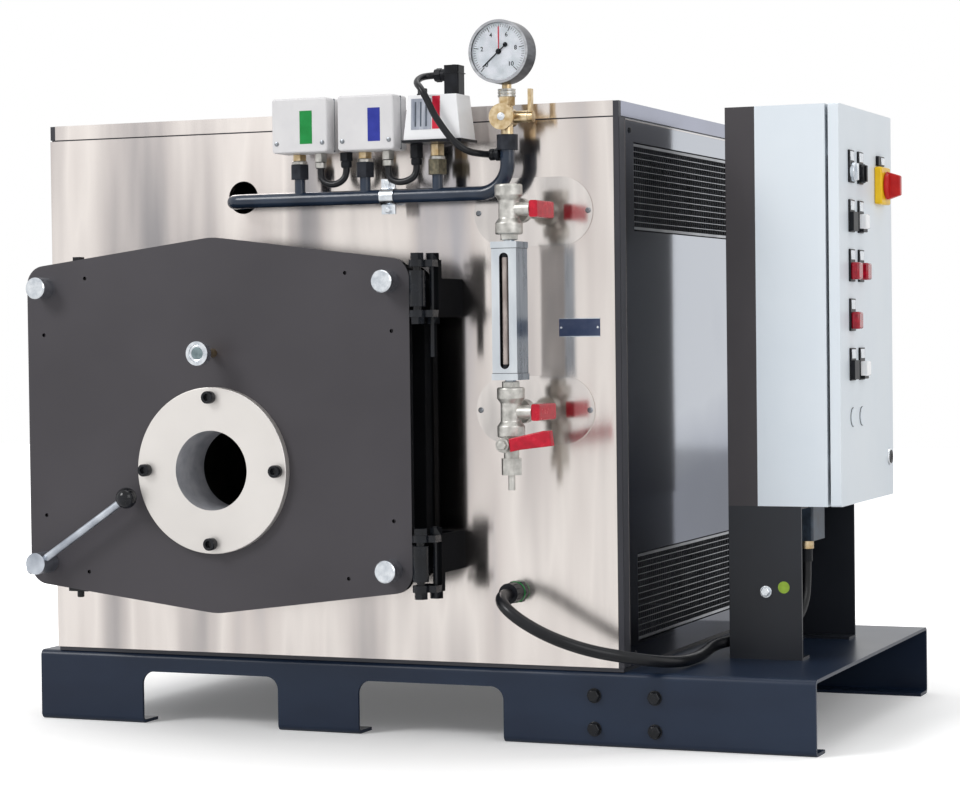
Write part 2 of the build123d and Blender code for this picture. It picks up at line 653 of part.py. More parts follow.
def tube_plate():
    """The front tube plate, with the furnace's mouth and one hole for each fire tube."""
    plate = rod_y(FURNACE_X, DOOR_Z, VESSEL_FRONT_Y, VESSEL_FRONT_Y + TUBE_PLATE,
                  VESSEL_RADIUS - VESSEL_WALL - RUNNING_GAP)
    plate -= rod_y(FURNACE_X, BURNER_Z, VESSEL_FRONT_Y - 1, VESSEL_FRONT_Y + 2 * TUBE_PLATE,
                   FURNACE_BORE + FURNACE_WALL + RUNNING_GAP)
    for x, z in fire_tube_places():
        plate -= rod_y(x, z, VESSEL_FRONT_Y - 1, VESSEL_FRONT_Y + 2 * TUBE_PLATE, FIRE_TUBE_RADIUS - FIRE_TUBE_WALL)
    return plate


def tube_nest():
    """The fire tubes, welded to the back of the front tube plate."""
    tubes = []
    for x, z in fire_tube_places():
        tube = rod_y(x, z, VESSEL_FRONT_Y + TUBE_PLATE, FURNACE_BACK_Y, FIRE_TUBE_RADIUS)
        tubes.append(tube - rod_y(x, z, VESSEL_FRONT_Y, FURNACE_BACK_Y + 1, FIRE_TUBE_RADIUS - FIRE_TUBE_WALL))
    return tubes


def furnace_tube():
    """The furnace, a tube with a closed far end."""
    tube = rod_y(FURNACE_X, BURNER_Z, VESSEL_FRONT_Y, FURNACE_BACK_Y, FURNACE_BORE + FURNACE_WALL)
    return tube - rod_y(FURNACE_X, BURNER_Z, VESSEL_FRONT_Y - 1, FURNACE_BACK_Y - FURNACE_WALL, FURNACE_BORE)


def vessel_saddles():
    """Two upright plates on the skid, cut to the vessel's round."""
    saddles = []
    for y in (VESSEL_FRONT_Y + SADDLE_INSET, VESSEL_BACK_Y - SADDLE_INSET):
        saddle = block(FURNACE_X - SADDLE_WIDTH / 2, FURNACE_X + SADDLE_WIDTH / 2,
                       y - SADDLE_THICKNESS / 2, y + SADDLE_THICKNESS / 2, SKID_HEIGHT, DOOR_Z - VESSEL_RADIUS / 2)
        saddle -= rod_y(FURNACE_X, DOOR_Z, y - SADDLE_THICKNESS, y + SADDLE_THICKNESS, VESSEL_RADIUS + RUNNING_GAP)
        saddles.append(saddle)
    return saddles


def flue_collar():
    """The flue outlet, a round collar through the rear sheet."""
    z = DOOR_Z + FLUE_LIFT
    collar = rod_y(FURNACE_X, z, VESSEL_BACK_Y, BACK_Y + FLUE_REACH, FLUE_RADIUS)
    return collar - rod_y(FURNACE_X, z, VESSEL_BACK_Y - 1, BACK_Y + FLUE_REACH + 1, FLUE_RADIUS - FLUE_WALL)


def door_frame():
    """The boiler's front plate, of the door's outline, that the door closes against."""
    frame = door_slab(DOOR_INSET_FRAME, FRAME_FACE_Y, VESSEL_FRONT_Y)
    return frame - rod_y(FURNACE_X, DOOR_Z, FRAME_FACE_Y - 1, VESSEL_FRONT_Y + 1, VESSEL_RADIUS - SMOKE_INSET)


# Burner door


def burner_bolt_places():
    """The four bolt places round the burner opening."""
    for number in range(BURNER_BOLTS):
        angle = math.radians(90 * number)
        radius = BURNER_BOLT_CIRCLE / 2
        yield FURNACE_X + radius * math.cos(angle), BURNER_Z + radius * math.sin(angle)


def nut_places():
    """The closing nuts' places: top left, top right and bottom right. The lever has the fourth."""
    yield FURNACE_X - NUT_OFFSET_X, DOOR_Z + NUT_OFFSET_Z
    yield FURNACE_X + NUT_OFFSET_X, DOOR_Z + NUT_OFFSET_Z
    yield FURNACE_X + NUT_OFFSET_X, DOOR_Z - NUT_OFFSET_Z


def door_plate():
    """The door's front plate with its burner opening and the small holes near its corners."""
    plate = door_slab(0, DOOR_FACE_Y, DOOR_BACK_Y)
    plate -= rod_y(FURNACE_X, BURNER_Z, DOOR_FACE_Y - 1, DOOR_BACK_Y + 1, BURNER_BORE)
    for x_in, z_in in ((PIN_OUTER_IN_X, PIN_OUTER_IN_Z), (PIN_INNER_IN_X, PIN_INNER_IN_Z)):
        for x_side in (-1, 1):
            for z_side in (-1, 1):
                plate -= rod_y(FURNACE_X + x_side * (DOOR_HALF_WIDTH - x_in), DOOR_Z + z_side * (DOOR_SHOULDER - z_in),
                               DOOR_FACE_Y - 1, DOOR_FACE_Y + DOOR_PLATE / 2, PIN_HOLE)
    return plate


def door_lining():
    """The insulated box behind the door plate, with the burner's throat through it."""
    lining = door_slab(DOOR_INSET_LINING, DOOR_BACK_Y, LINING_BACK_Y)
    return lining - rod_y(FURNACE_X, BURNER_Z, DOOR_BACK_Y - 1, LINING_BACK_Y + 1, BURNER_BORE)


def burner_flange():
    """The ring that a burner bolts to."""
    face = DOOR_FACE_Y - BURNER_FLANGE
    ring = rod_y(FURNACE_X, BURNER_Z, face, DOOR_FACE_Y, BURNER_FLANGE_RADIUS)
    ring = fillet(ring.edges().filter_by(GeomType.CIRCLE).group_by(Axis.Y)[0], 1)
    ring -= rod_y(FURNACE_X, BURNER_Z, face - 1, DOOR_FACE_Y + 1, BURNER_BORE)
    for x, z in burner_bolt_places():
        ring -= rod_y(x, z, face - 1, DOOR_FACE_Y + 1, BURNER_BOLT_HOLE)
    return ring


def sight_glass():
    """The flame sight: a short tube with a wide glazed head."""
    tip = DOOR_FACE_Y - SIGHT_LENGTH
    sight = rod_y(FURNACE_X, SIGHT_Z, tip + SIGHT_HEAD_LENGTH, DOOR_FACE_Y, SIGHT_TUBE)
    head = rod_y(FURNACE_X, SIGHT_Z, tip, tip + SIGHT_HEAD_LENGTH, SIGHT_HEAD)
    head -= rod_y(FURNACE_X, SIGHT_Z, tip - 1, tip + SIGHT_HEAD_LENGTH / 4, SIGHT_HEAD - SIGHT_RIM)
    return sight + head


def closing_nuts():
    """The long round nuts that hold the door shut."""
    nuts = []
    for x, z in nut_places():
        nut = rod_y(x, z, DOOR_FACE_Y - NUT_LENGTH, DOOR_FACE_Y, NUT_RADIUS)
        nut = chamfer(nut.edges().filter_by(GeomType.CIRCLE).group_by(Axis.Y)[0], 1.5)
        nuts.append(nut)
    return nuts


def clamp_lever():
    """The bottom left closing nut with its lever and ball."""
    x = FURNACE_X - NUT_OFFSET_X
    z = DOOR_Z - NUT_OFFSET_Z
    y = DOOR_FACE_Y - RUNNING_GAP - LEVER_STANDOFF
    hub = rod_y(x, z, y - 2 * LEVER_ROD, DOOR_FACE_Y - RUNNING_GAP, NUT_RADIUS)
    tilt = math.radians(LEVER_TILT)
    reach = Vector(math.cos(tilt), 0, math.sin(tilt))
    start = Vector(x, y, z) - reach * LEVER_TAIL
    bar = Plane(origin=start, z_dir=reach) * extrude(Circle(LEVER_ROD), LEVER_LENGTH + LEVER_TAIL)
    ball = Pos(*(Vector(x, y, z) + reach * LEVER_LENGTH)) * Sphere(LEVER_BALL)
    return hub + bar + ball


# Hinges


def hinge_brackets():
    """Two forked brackets on the boiler's front plate, each with its pin and a stud behind the pin."""
    brackets = []
    foot_left = FURNACE_X + DOOR_HALF_WIDTH - DOOR_INSET_FRAME
    web_right = HINGE_X + HINGE_EAR_REACH
    stud_x, stud_y = HINGE_X + HINGE_STUD_OUT, HINGE_Y + HINGE_STUD_BACK
    ear_back = stud_y + HINGE_EAR_BACK
    for z, tail in zip(HINGE_HEIGHTS, HINGE_TAILS):
        low = z - HINGE_KNUCKLE_HEIGHT / 2 - HINGE_EAR_GAP - HINGE_EAR
        high = z + HINGE_KNUCKLE_HEIGHT / 2 + HINGE_EAR_GAP + HINGE_EAR
        arm_low = low if z > DOOR_Z else high - HINGE_ARM_HEIGHT
        arm_high = arm_low + HINGE_ARM_HEIGHT
        bracket = block(web_right - HINGE_WEB, web_right, stud_y, FRONT_Y, arm_low, arm_high)
        bracket += block(foot_left, web_right, FRAME_FACE_Y + HINGE_WEB, FRONT_Y, arm_low, arm_high)
        bracket += block(web_right - HINGE_WEB, web_right, stud_y, ear_back, low, high)
        for ear_low in (low, high - HINGE_EAR):
            ear = block(HINGE_X - HINGE_PIN, web_right, HINGE_Y, ear_back, ear_low, ear_low + HINGE_EAR)
            ear += rod_z(HINGE_X, HINGE_Y, ear_low, ear_low + HINGE_EAR, HINGE_KNUCKLE)
            bracket += ear
        bracket += rod_z(HINGE_X, HINGE_Y, low, high, HINGE_PIN)
        stud_low, stud_high = (low - tail, high) if z > DOOR_Z else (low, high + tail)
        bracket += rod_z(stud_x, stud_y, stud_low, stud_high, HINGE_STUD)
        for x, y in ((HINGE_X, HINGE_Y), (stud_x, stud_y)):
            bracket += hex_z(x, y, high, high + HINGE_HEAD, HINGE_HEAD_WIDTH)
            bracket += hex_z(x, y, low - HINGE_HEAD, low, HINGE_HEAD_WIDTH)
        brackets.append(bracket)
    return brackets


def door_knuckles():
    """The two knuckles welded to the door plate's edge."""
    knuckles = []
    edge = FURNACE_X + DOOR_HALF_WIDTH
    for z in HINGE_HEIGHTS:
        low = z - HINGE_KNUCKLE_HEIGHT / 2
        high = z + HINGE_KNUCKLE_HEIGHT / 2
        knuckle = rod_z(HINGE_X, HINGE_Y, low, high, HINGE_KNUCKLE)
        knuckle += block(edge, HINGE_X, DOOR_FACE_Y, DOOR_BACK_Y, low, high)
        knuckle -= rod_z(HINGE_X, HINGE_Y, low - 1, high + 1, HINGE_PIN + HINGE_PIN_PLAY)
        knuckles.append(knuckle)
    return knuckles


# Instrument manifold


def pipe_along(points, bends, radius):
    """A round solid along straight runs joined by arcs of the given radii."""
    path = FilletPolyline(*points, radius=bends)
    start = Plane(origin=path @ 0, z_dir=path % 0)
    return sweep(start * Circle(radius), path=path)


def manifold_pipe():
    """The pipe that turns back through its port at the left and rises at the right, with its branches."""
    route = ((FURNACE_X, FRONT_Y + VESSEL_SETBACK, MANIFOLD_Z), (FURNACE_X, MANIFOLD_Y, MANIFOLD_Z),
             (RISER_X, MANIFOLD_Y, MANIFOLD_Z), (RISER_X, MANIFOLD_Y, RISER_TOP))
    pipe = pipe_along(route, [PORT_ELBOW, PIPE_BEND], PIPE_RADIUS)
    for x in (*SWITCH_BRANCHES, LIMITER_X):
        pipe += rod_z(x, MANIFOLD_Y, MANIFOLD_Z, BRANCH_TOP, BRANCH_RADIUS)
        pipe += hex_z(x, MANIFOLD_Y, BRANCH_TOP - UNION_HEIGHT, BRANCH_TOP, UNION_WIDTH)
    return pipe + rod_z(RISER_X, MANIFOLD_Y, RISER_TOP, RISER_TOP + UNION_HEIGHT, RISER_UNION)


def switch_box(x):
    """One pressure switch: a rounded box on a short neck."""
    front = SWITCH_FRONT_Y
    top = SWITCH_Z + SWITCH_BOX_HEIGHT
    left = x + SWITCH_SHIFT - SWITCH_BOX_WIDTH / 2
    box = block(left, left + SWITCH_BOX_WIDTH, front, front + SWITCH_BOX_DEPTH, SWITCH_Z, top)
    box = fillet(box.edges().filter_by(Axis.Y), SWITCH_BOX_CORNER)
    box = fillet(box.edges().group_by(Axis.Y)[0], SWITCH_BOX_EDGE)
    return box + rod_z(x, MANIFOLD_Y, BRANCH_TOP, SWITCH_Z, BRANCH_RADIUS)


def pressure_switches():
    """The two like pressure switches on the first two branches."""
    return [switch_box(x) for x in SWITCH_BRANCHES]


def pressure_limiter():
    """The limiter on the third branch: a tapered cover on a wider base plate."""
    x = LIMITER_MIDDLE
    base = block(x - LIMITER_WIDTH / 2, x + LIMITER_WIDTH / 2, SWITCH_Y - LIMITER_DEPTH / 2,
                 SWITCH_Y + LIMITER_DEPTH / 2, LIMITER_Z, LIMITER_Z + LIMITER_BASE)
    foot = Pos(x, SWITCH_Y, LIMITER_Z + LIMITER_BASE)
    head = Pos(x, SWITCH_Y, LIMITER_TOP)
    wide, deep = LIMITER_WIDTH - LIMITER_BASE, LIMITER_DEPTH - LIMITER_BASE
    cover = loft([(foot * Rectangle(wide, deep)).face(),
                  (head * Rectangle(wide - 2 * LIMITER_FLARE, deep - LIMITER_FLARE)).face()])
    return base + cover + rod_z(LIMITER_X, MANIFOLD_Y, BRANCH_TOP, LIMITER_Z, BRANCH_RADIUS)


def limiter_plug():
    """The narrow plug on top of the limiter, with its round cable neck to the left."""
    x = PLUG_MIDDLE
    plug = block(x - PLUG_WIDTH / 2, x + PLUG_WIDTH / 2, SWITCH_Y - PLUG_DEPTH / 2, SWITCH_Y + PLUG_DEPTH / 2,
                 LIMITER_TOP, LIMITER_TOP + PLUG_HEIGHT)
    plug = fillet(plug.edges().filter_by(Axis.Z), PLUG_CORNER)
    return plug + rod_x(SWITCH_Y, PLUG_NECK_Z, x - PLUG_REACH, x, PLUG_NECK)


def gauge_cock():
    """The brass cock between the riser and the gauge."""
    z = GAUGE_COCK_Z
    cock = rod_z(RISER_X, MANIFOLD_Y, RISER_TOP + UNION_HEIGHT, GAUGE_LOW, GAUGE_NECK + 2)
    cock += rod_y(RISER_X, z, MANIFOLD_Y - COCK_DISC_REACH, MANIFOLD_Y + COCK_PLUG, COCK_PLUG)
    cock += rod_y(RISER_X, z, MANIFOLD_Y - COCK_DISC_REACH,
                  MANIFOLD_Y - COCK_DISC_REACH + COCK_DISC_THICKNESS, COCK_DISC)
    cock += rod_x(MANIFOLD_Y, z, RISER_X, RISER_X + COCK_SIDE_REACH, COCK_SIDE_RADIUS)
    return cock + hex_z(RISER_X, MANIFOLD_Y, GAUGE_LOW - GAUGE_NUT, GAUGE_LOW, GAUGE_NUT_WIDTH)


def cock_lever():
    """The small lever that stands up at the gauge cock's right end."""
    x = RISER_X + COCK_SIDE_REACH + RUNNING_GAP
    half = COCK_ARM_WIDTH / 2
    lever = rod_x(MANIFOLD_Y, GAUGE_COCK_Z, x, x + COCK_HUB_THICKNESS, COCK_HUB)
    arm = block(x, x + COCK_ARM_THICKNESS, MANIFOLD_Y - half, MANIFOLD_Y + half,
                GAUGE_COCK_Z, GAUGE_COCK_Z + COCK_ARM_LENGTH)
    return lever + arm


def pressure_gauge():
    """The dial gauge with its flat case and stem."""
    front = MANIFOLD_Y - GAUGE_FORWARD
    case = rod_y(RISER_X, GAUGE_Z, front, front + GAUGE_DEPTH, GAUGE_RADIUS)
    case -= rod_y(RISER_X, GAUGE_Z, front - 1, front + GAUGE_RIM, GAUGE_RADIUS - GAUGE_RIM)
    return case + rod_z(RISER_X, MANIFOLD_Y, GAUGE_LOW, GAUGE_Z - GAUGE_RADIUS + GAUGE_RIM, GAUGE_NECK)


def pipe_clamp():
    """The clamp that holds the manifold to the front: a band with a flange above and below, and a stud back."""
    x = SWITCH_BRANCHES[-1] + CLAMP_OUT
    x0, x1 = x - CLAMP_WIDTH / 2, x + CLAMP_WIDTH / 2
    ring = PIPE_RADIUS + RUNNING_GAP
    strap = rod_x(MANIFOLD_Y, MANIFOLD_Z, x0, x1, ring + CLAMP_STRAP)
    strap += block(x0, x1, MANIFOLD_Y - CLAMP_STRAP, MANIFOLD_Y + CLAMP_STRAP,
                   MANIFOLD_Z - CLAMP_HALF_HEIGHT, MANIFOLD_Z + CLAMP_HALF_HEIGHT)
    strap -= rod_x(MANIFOLD_Y, MANIFOLD_Z, x0 - 1, x1 + 1, ring)
    strap += rod_y(x, MANIFOLD_Z, MANIFOLD_Y + ring + CLAMP_STRAP / 2, FRONT_Y, CLAMP_STUD)
    return strap + rod_y(x, MANIFOLD_Z, FRONT_Y - CLAMP_STRAP, FRONT_Y, CLAMP_WIDTH / 2)


# Level gauge


def cover_plates():
    """The two round-ended plates behind the level gauge's cocks."""
    plates = []
    for z in (UPPER_COCK_Z, LOWER_COCK_Z):
        outline = SlotOverall(COVER_LENGTH, COVER_WIDTH) - Circle(NIPPLE_RADIUS + RUNNING_GAP)
        plates.append(extrude(front_plane(LEVEL_X, FRONT_Y, z) * outline, COVER_THICKNESS))
    return plates


def cock_body(z):
    """One gauge cock: a waisted upright body with a nipple back to the boiler and a side spindle."""
    half = COCK_HALF_HEIGHT
    shoulder = half - COCK_COLLAR_HEIGHT
    profile = make_face(Polyline((0, -half), (COCK_COLLAR, -half), (COCK_COLLAR, -shoulder),
                                 (COCK_WAIST, -COCK_WAIST_HALF), (COCK_WAIST, COCK_WAIST_HALF),
                                 (COCK_COLLAR, shoulder), (COCK_COLLAR, half), (0, half), close=True))
    profile = fillet([v for v in profile.vertices() if v.X > COCK_WAIST / 2], COCK_ROUNDING)
    body = Pos(LEVEL_X, LEVEL_Y, z) * revolve(Plane.XZ * profile, Axis.Z)
    body += rod_y(LEVEL_X, z, LEVEL_Y, FRONT_Y + NIPPLE_DEPTH, NIPPLE_RADIUS)
    body += rod_y(LEVEL_X, z, LEVEL_Y + NIPPLE_NUT_START, LEVEL_Y + NIPPLE_NUT_START + NIPPLE_NUT, NIPPLE_NUT)
    spindle = LEVEL_X + COCK_SPINDLE_REACH - RUNNING_GAP
    return body + rod_x(LEVEL_Y, z, LEVEL_X, spindle, COCK_SPINDLE)


def gauge_cocks():
    """The upper and lower cocks of the level gauge."""
    return [cock_body(UPPER_COCK_Z), cock_body(LOWER_COCK_Z)]


def glass_frame():
    """The gauge's frame with its long sight slot and the short tubes into the cocks."""
    low, high = GAUGE_FRAME_LOW, GAUGE_FRAME_HIGH
    half_wide, half_deep = GAUGE_FRAME_WIDTH / 2, GAUGE_FRAME_DEPTH / 2
    frame = block(LEVEL_X - half_wide, LEVEL_X + half_wide, LEVEL_Y - half_deep, LEVEL_Y + half_deep, low, high)
    for end_low in (low, high - GAUGE_FRAME_CAP):
        frame += block(LEVEL_X - half_wide - 1, LEVEL_X + half_wide + 1, LEVEL_Y - half_deep - 1,
                       LEVEL_Y + half_deep + 1, end_low, end_low + GAUGE_FRAME_CAP)
    slot = SlotOverall(high - low - 2 * SIGHT_SLOT_END, SIGHT_SLOT, rotation=90)
    face = LEVEL_Y - half_deep / 2
    frame -= extrude(front_plane(LEVEL_X, face, (low + high) / 2) * slot, GAUGE_FRAME_DEPTH)
    frame += rod_z(LEVEL_X, LEVEL_Y, low - COCK_NECK, low, COCK_TUBE)
    return frame + rod_z(LEVEL_X, LEVEL_Y, high, high + COCK_NECK, COCK_TUBE)


def gauge_glass():
    """The glass at the bottom of the frame's slot."""
    low, high = GAUGE_FRAME_LOW, GAUGE_FRAME_HIGH
    slot = SlotOverall(high - low - 2 * SIGHT_SLOT_END - 2 * RUNNING_GAP, SIGHT_SLOT - 2 * RUNNING_GAP, rotation=90)
    face = LEVEL_Y - GAUGE_FRAME_DEPTH / 4
    return extrude(front_plane(LEVEL_X, face, (low + high) / 2) * slot, GLASS_THICKNESS)


def cock_lever_bar(z):
    """One red lever on the right of a gauge cock, lying back along its nipple."""
    x = LEVEL_X + COCK_SPINDLE_REACH
    y = LEVEL_Y - LEVER_BAR_FRONT
    bar = block(x, x + LEVER_BAR_WIDTH, y, y + LEVER_BAR_LENGTH, z - LEVER_BAR_HEIGHT / 2, z + LEVER_BAR_HEIGHT / 2)
    return fillet(bar.edges().filter_by(Axis.Y), LEVER_BAR_WIDTH / 4)


def upper_cock_lever():
    """The upper cock's lever."""
    return cock_lever_bar(UPPER_COCK_Z)


def lower_cock_lever():
    """The lower cock's lever."""
    return cock_lever_bar(LOWER_COCK_Z)


def drain_cock():
    """The drain cock under the lower gauge cock, with its outlet tube."""
    nut_top = DRAIN_Z - DRAIN_NUT_DROP
    nut_low = nut_top - DRAIN_NUT_HEIGHT
    tube_low = nut_low - DRAIN_TUBE_LENGTH
    cock = rod_z(LEVEL_X, LEVEL_Y, nut_top, LOWER_COCK_Z - COCK_HALF_HEIGHT, DRAIN_BODY)
    cock += rod_y(LEVEL_X, DRAIN_Z, LEVEL_Y - DRAIN_SPINDLE, LEVEL_Y, COCK_SPINDLE - 1)
    cock += hex_z(LEVEL_X, LEVEL_Y, nut_low, nut_top, DRAIN_NUT_WIDTH)
    cock += rod_z(LEVEL_X, LEVEL_Y, tube_low, nut_low, DRAIN_TUBE)
    return cock - rod_z(LEVEL_X, LEVEL_Y, tube_low - 1, nut_low + DRAIN_TUBE, DRAIN_TUBE - DRAIN_TUBE_WALL)


def drain_lever():
    """The long red lever on the front of the drain cock, thicker at its outer end."""
    start, length, thick = DRAIN_LEVER_START, DRAIN_LEVER_LENGTH, DRAIN_LEVER_THICKNESS
    hub = COCK_SPINDLE + 1
    outline = Polyline((start - 2, -hub), (start + hub, 1 - hub), (start + length, -hub), (start + length, hub),
                       (start + length - hub, hub + 1), (start + hub, hub - 2), (start - 2, hub - 3), close=True)
    bar = extrude(front_plane(0, 0, 0) * make_face(outline), thick)
    bar = fillet(bar.edges().group_by(Axis.Y)[0], 2)
    bar += rod_y(0, 0, -thick / 2, 0, hub) + block(0, start, 1 - thick / 2, 0, 2 - hub, hub - 4)
    place = Pos(LEVEL_X, LEVEL_Y - DRAIN_SPINDLE - RUNNING_GAP, DRAIN_Z)
    return place * Rot(0, -DRAIN_LEVER_TILT, 0) * bar


# Control cabinet


def cabinet_stand():
    """The channel that lifts the cabinet off the deck, with feet turned in."""
    x1 = STAND_RIGHT_X
    stand = block(STAND_LEFT_X, x1, CABINET_NEAR_Y, STAND_FAR_Y, SKID_HEIGHT, CABINET_LOW)
    stand -= block(STAND_LEFT_X + STAND_SHEET, x1 + 1, CABINET_NEAR_Y + STAND_SHEET,
                   STAND_FAR_Y - STAND_SHEET, SKID_HEIGHT + STAND_SHEET, CABINET_LOW - STAND_SHEET)
    opening = block(STAND_LEFT_X + STAND_FOOT, x1 + 1, CABINET_NEAR_Y + STAND_FOOT,
                    STAND_FAR_Y - STAND_FOOT, SKID_HEIGHT - 1, CABINET_LOW + 1)
    stand -= opening
    return stand - rod_x(HOSE_HOLE_Y, HOSE_HOLE_Z, STAND_LEFT_X - 1, STAND_LEFT_X + STAND_FOOT, HOSE_HOLE_RADIUS)


def cabinet_post():
    """The channel behind the cabinet, from the stand to the cabinet's top."""
    post = block(STAND_LEFT_X, CABINET_BACK_X, CABINET_NEAR_Y, CABINET_FAR_Y, CABINET_LOW, CASING_TOP)
    post -= block(STAND_LEFT_X + STAND_SHEET, CABINET_BACK_X + 1, CABINET_NEAR_Y + STAND_SHEET,
                  CABINET_FAR_Y - STAND_SHEET, CABINET_LOW + STAND_SHEET, CASING_TOP - STAND_SHEET)
    return post


def cabinet_body():
    """The cabinet's case, open to the right behind its door, with the arms and pins of two concealed hinges."""
    sheet = CABINET_SHEET
    case = block(CABINET_BACK_X, CABINET_RIM_X, CABINET_NEAR_Y, CABINET_FAR_Y, CABINET_LOW, CASING_TOP)
    case -= block(CABINET_BACK_X + sheet, CABINET_RIM_X - sheet, CABINET_NEAR_Y + sheet,
                  CABINET_FAR_Y - sheet, CABINET_LOW + sheet, CASING_TOP - sheet)
    rim = sheet + CABINET_RIM
    case -= block(CABINET_BACK_X + sheet, CABINET_RIM_X + 1, CABINET_NEAR_Y + rim,
                  CABINET_FAR_Y - rim, CABINET_LOW + rim, CASING_TOP - rim)
    inner = CABINET_NEAR_Y + rim
    half = CABINET_KNUCKLE_HEIGHT / 2
    arm_front = CABINET_HINGE_X + CABINET_HINGE_EYE
    for z in CABINET_HINGE_HEIGHTS:
        case += block(CABINET_RIM_X - sheet, arm_front, inner, inner + CABINET_ARM, z - half, z + half)
        case += block(CABINET_HINGE_X + RUNNING_GAP, arm_front, CABINET_HINGE_Y, inner + CABINET_ARM,
                      z - half, z + half)
        case += rod_z(CABINET_HINGE_X, CABINET_HINGE_Y, z - half, z + half, CABINET_HINGE_EYE)
        case += rod_z(CABINET_HINGE_X, CABINET_HINGE_Y, z - 3 * half, z + 3 * half, CABINET_HINGE_PIN)
    return case


def mounting_plate():
    """The plate at the back of the cabinet that carries the switchgear, on four short posts."""
    x = CABINET_BACK_X + CABINET_SHEET
    front = x + PLATE_STANDOFF
    plate = block(front, front + CABINET_SHEET, CABINET_NEAR_Y + PLATE_MARGIN, CABINET_FAR_Y - PLATE_MARGIN,
                  CABINET_LOW + PLATE_MARGIN, CASING_TOP - PLATE_MARGIN)
    for y in (CABINET_NEAR_Y + 2 * PLATE_MARGIN, CABINET_FAR_Y - 2 * PLATE_MARGIN):
        for z in (CABINET_LOW + 2 * PLATE_MARGIN, CASING_TOP - 2 * PLATE_MARGIN):
            plate += rod_x(y, z, x, front, PLATE_POST)
    return plate


def cabinet_door():
    """The cabinet's door, a shallow tray with the knuckles of its hinges inside its near edge."""
    sheet = CABINET_SHEET
    left = CABINET_FRONT_X - CABINET_DOOR
    door = block(left, CABINET_FRONT_X, CABINET_NEAR_Y, CABINET_FAR_Y, CABINET_LOW, CASING_TOP)
    door = fillet(door.edges().filter_by(Axis.X), sheet + 1)
    door -= block(left - 1, CABINET_FRONT_X - sheet, CABINET_NEAR_Y + sheet, CABINET_FAR_Y - sheet,
                  CABINET_LOW + sheet, CASING_TOP - sheet)
    half = CABINET_KNUCKLE_HEIGHT / 2
    for z in CABINET_HINGE_HEIGHTS:
        for low in (z + half + RUNNING_GAP, z - 3 * half):
            high = low + CABINET_KNUCKLE_HEIGHT - RUNNING_GAP
            door += rod_z(CABINET_HINGE_X, CABINET_HINGE_Y, low, high, CABINET_KNUCKLE)
        door -= rod_z(CABINET_HINGE_X, CABINET_HINGE_Y, z - 4 * half, z + 4 * half,
                      CABINET_HINGE_PIN + HINGE_PIN_PLAY)
    return door


def unit_places():
    """The places of the buttons, lamps and selectors on the cabinet's door."""
    for row in range(UNIT_ROWS):
        for column in UNIT_COLUMNS:
            if row == SINGLE_ROW and column == UNIT_COLUMNS[-1]:
                continue
            yield column, CASING_TOP - UNIT_TOP_MARGIN - row * UNIT_ROW_PITCH


def door_controls():
    """Lamps, buttons and selectors, the main switch's plate and the lock, on the cabinet's door."""
    x = CABINET_FRONT_X
    controls = [rod_x(y, z, x, x + UNIT_REACH, UNIT_RADIUS) for y, z in unit_places()]
    half = SWITCH_PLATE / 2
    plate = block(x, x + SWITCH_PLATE_THICKNESS, SWITCH_PLATE_Y - half, SWITCH_PLATE_Y + half,
                  SWITCH_PLATE_Z - half, SWITCH_PLATE_Z + half)
    controls.append(fillet(plate.edges().filter_by(Axis.X), SWITCH_PLATE_CORNER))
    controls.append(rod_x(CABINET_NEAR_Y + LOCK_IN, CABINET_LOW + LOCK_RISE, x, x + LOCK_REACH, LOCK_RADIUS))
    return controls


def main_switch_handle():
    """The red rotary handle of the main switch: a round base with a grip across it."""
    x = CABINET_FRONT_X + SWITCH_PLATE_THICKNESS + RUNNING_GAP
    base = x + SWITCH_KNOB_THICKNESS
    handle = rod_x(SWITCH_PLATE_Y, SWITCH_PLATE_Z, x, base, SWITCH_KNOB)
    grip = block(base, x + SWITCH_HANDLE_REACH, SWITCH_PLATE_Y - SWITCH_GRIP / 2, SWITCH_PLATE_Y + SWITCH_GRIP / 2,
                 SWITCH_PLATE_Z - SWITCH_GRIP_LENGTH / 2, SWITCH_PLATE_Z + SWITCH_GRIP_LENGTH / 2)
    return handle + fillet(grip.edges().group_by(Axis.X)[-1], SWITCH_GRIP_EDGE)


def cabinet_connector():
    """The grey plug under the cabinet: flange, hood, gland and sleeve."""
    x, y = CONNECTOR_X, CONNECTOR_Y
    flange_low = CABINET_LOW - PLUG_FLANGE
    hood_low = flange_low - PLUG_HOOD
    gland_low = hood_low - PLUG_GLAND
    plug = block(x - PLUG_FLANGE_X / 2, x + PLUG_FLANGE_X / 2, y - PLUG_FLANGE_Y / 2, y + PLUG_FLANGE_Y / 2,
                 flange_low, CABINET_LOW)
    hood = block(x - PLUG_HOOD_X / 2, x + PLUG_HOOD_X / 2, y - PLUG_HOOD_Y / 2, y + PLUG_HOOD_Y / 2,
                 hood_low, flange_low)
    plug += fillet(hood.edges().filter_by(Axis.Z), PLUG_HOOD_CORNER)
    plug += rod_z(x, y, gland_low, hood_low, PLUG_GLAND_RADIUS)
    return plug + rod_z(x, y, HOSE_TOP, gland_low, PLUG_SLEEVE_RADIUS)


# Hose from the front of the casing to the cabinet

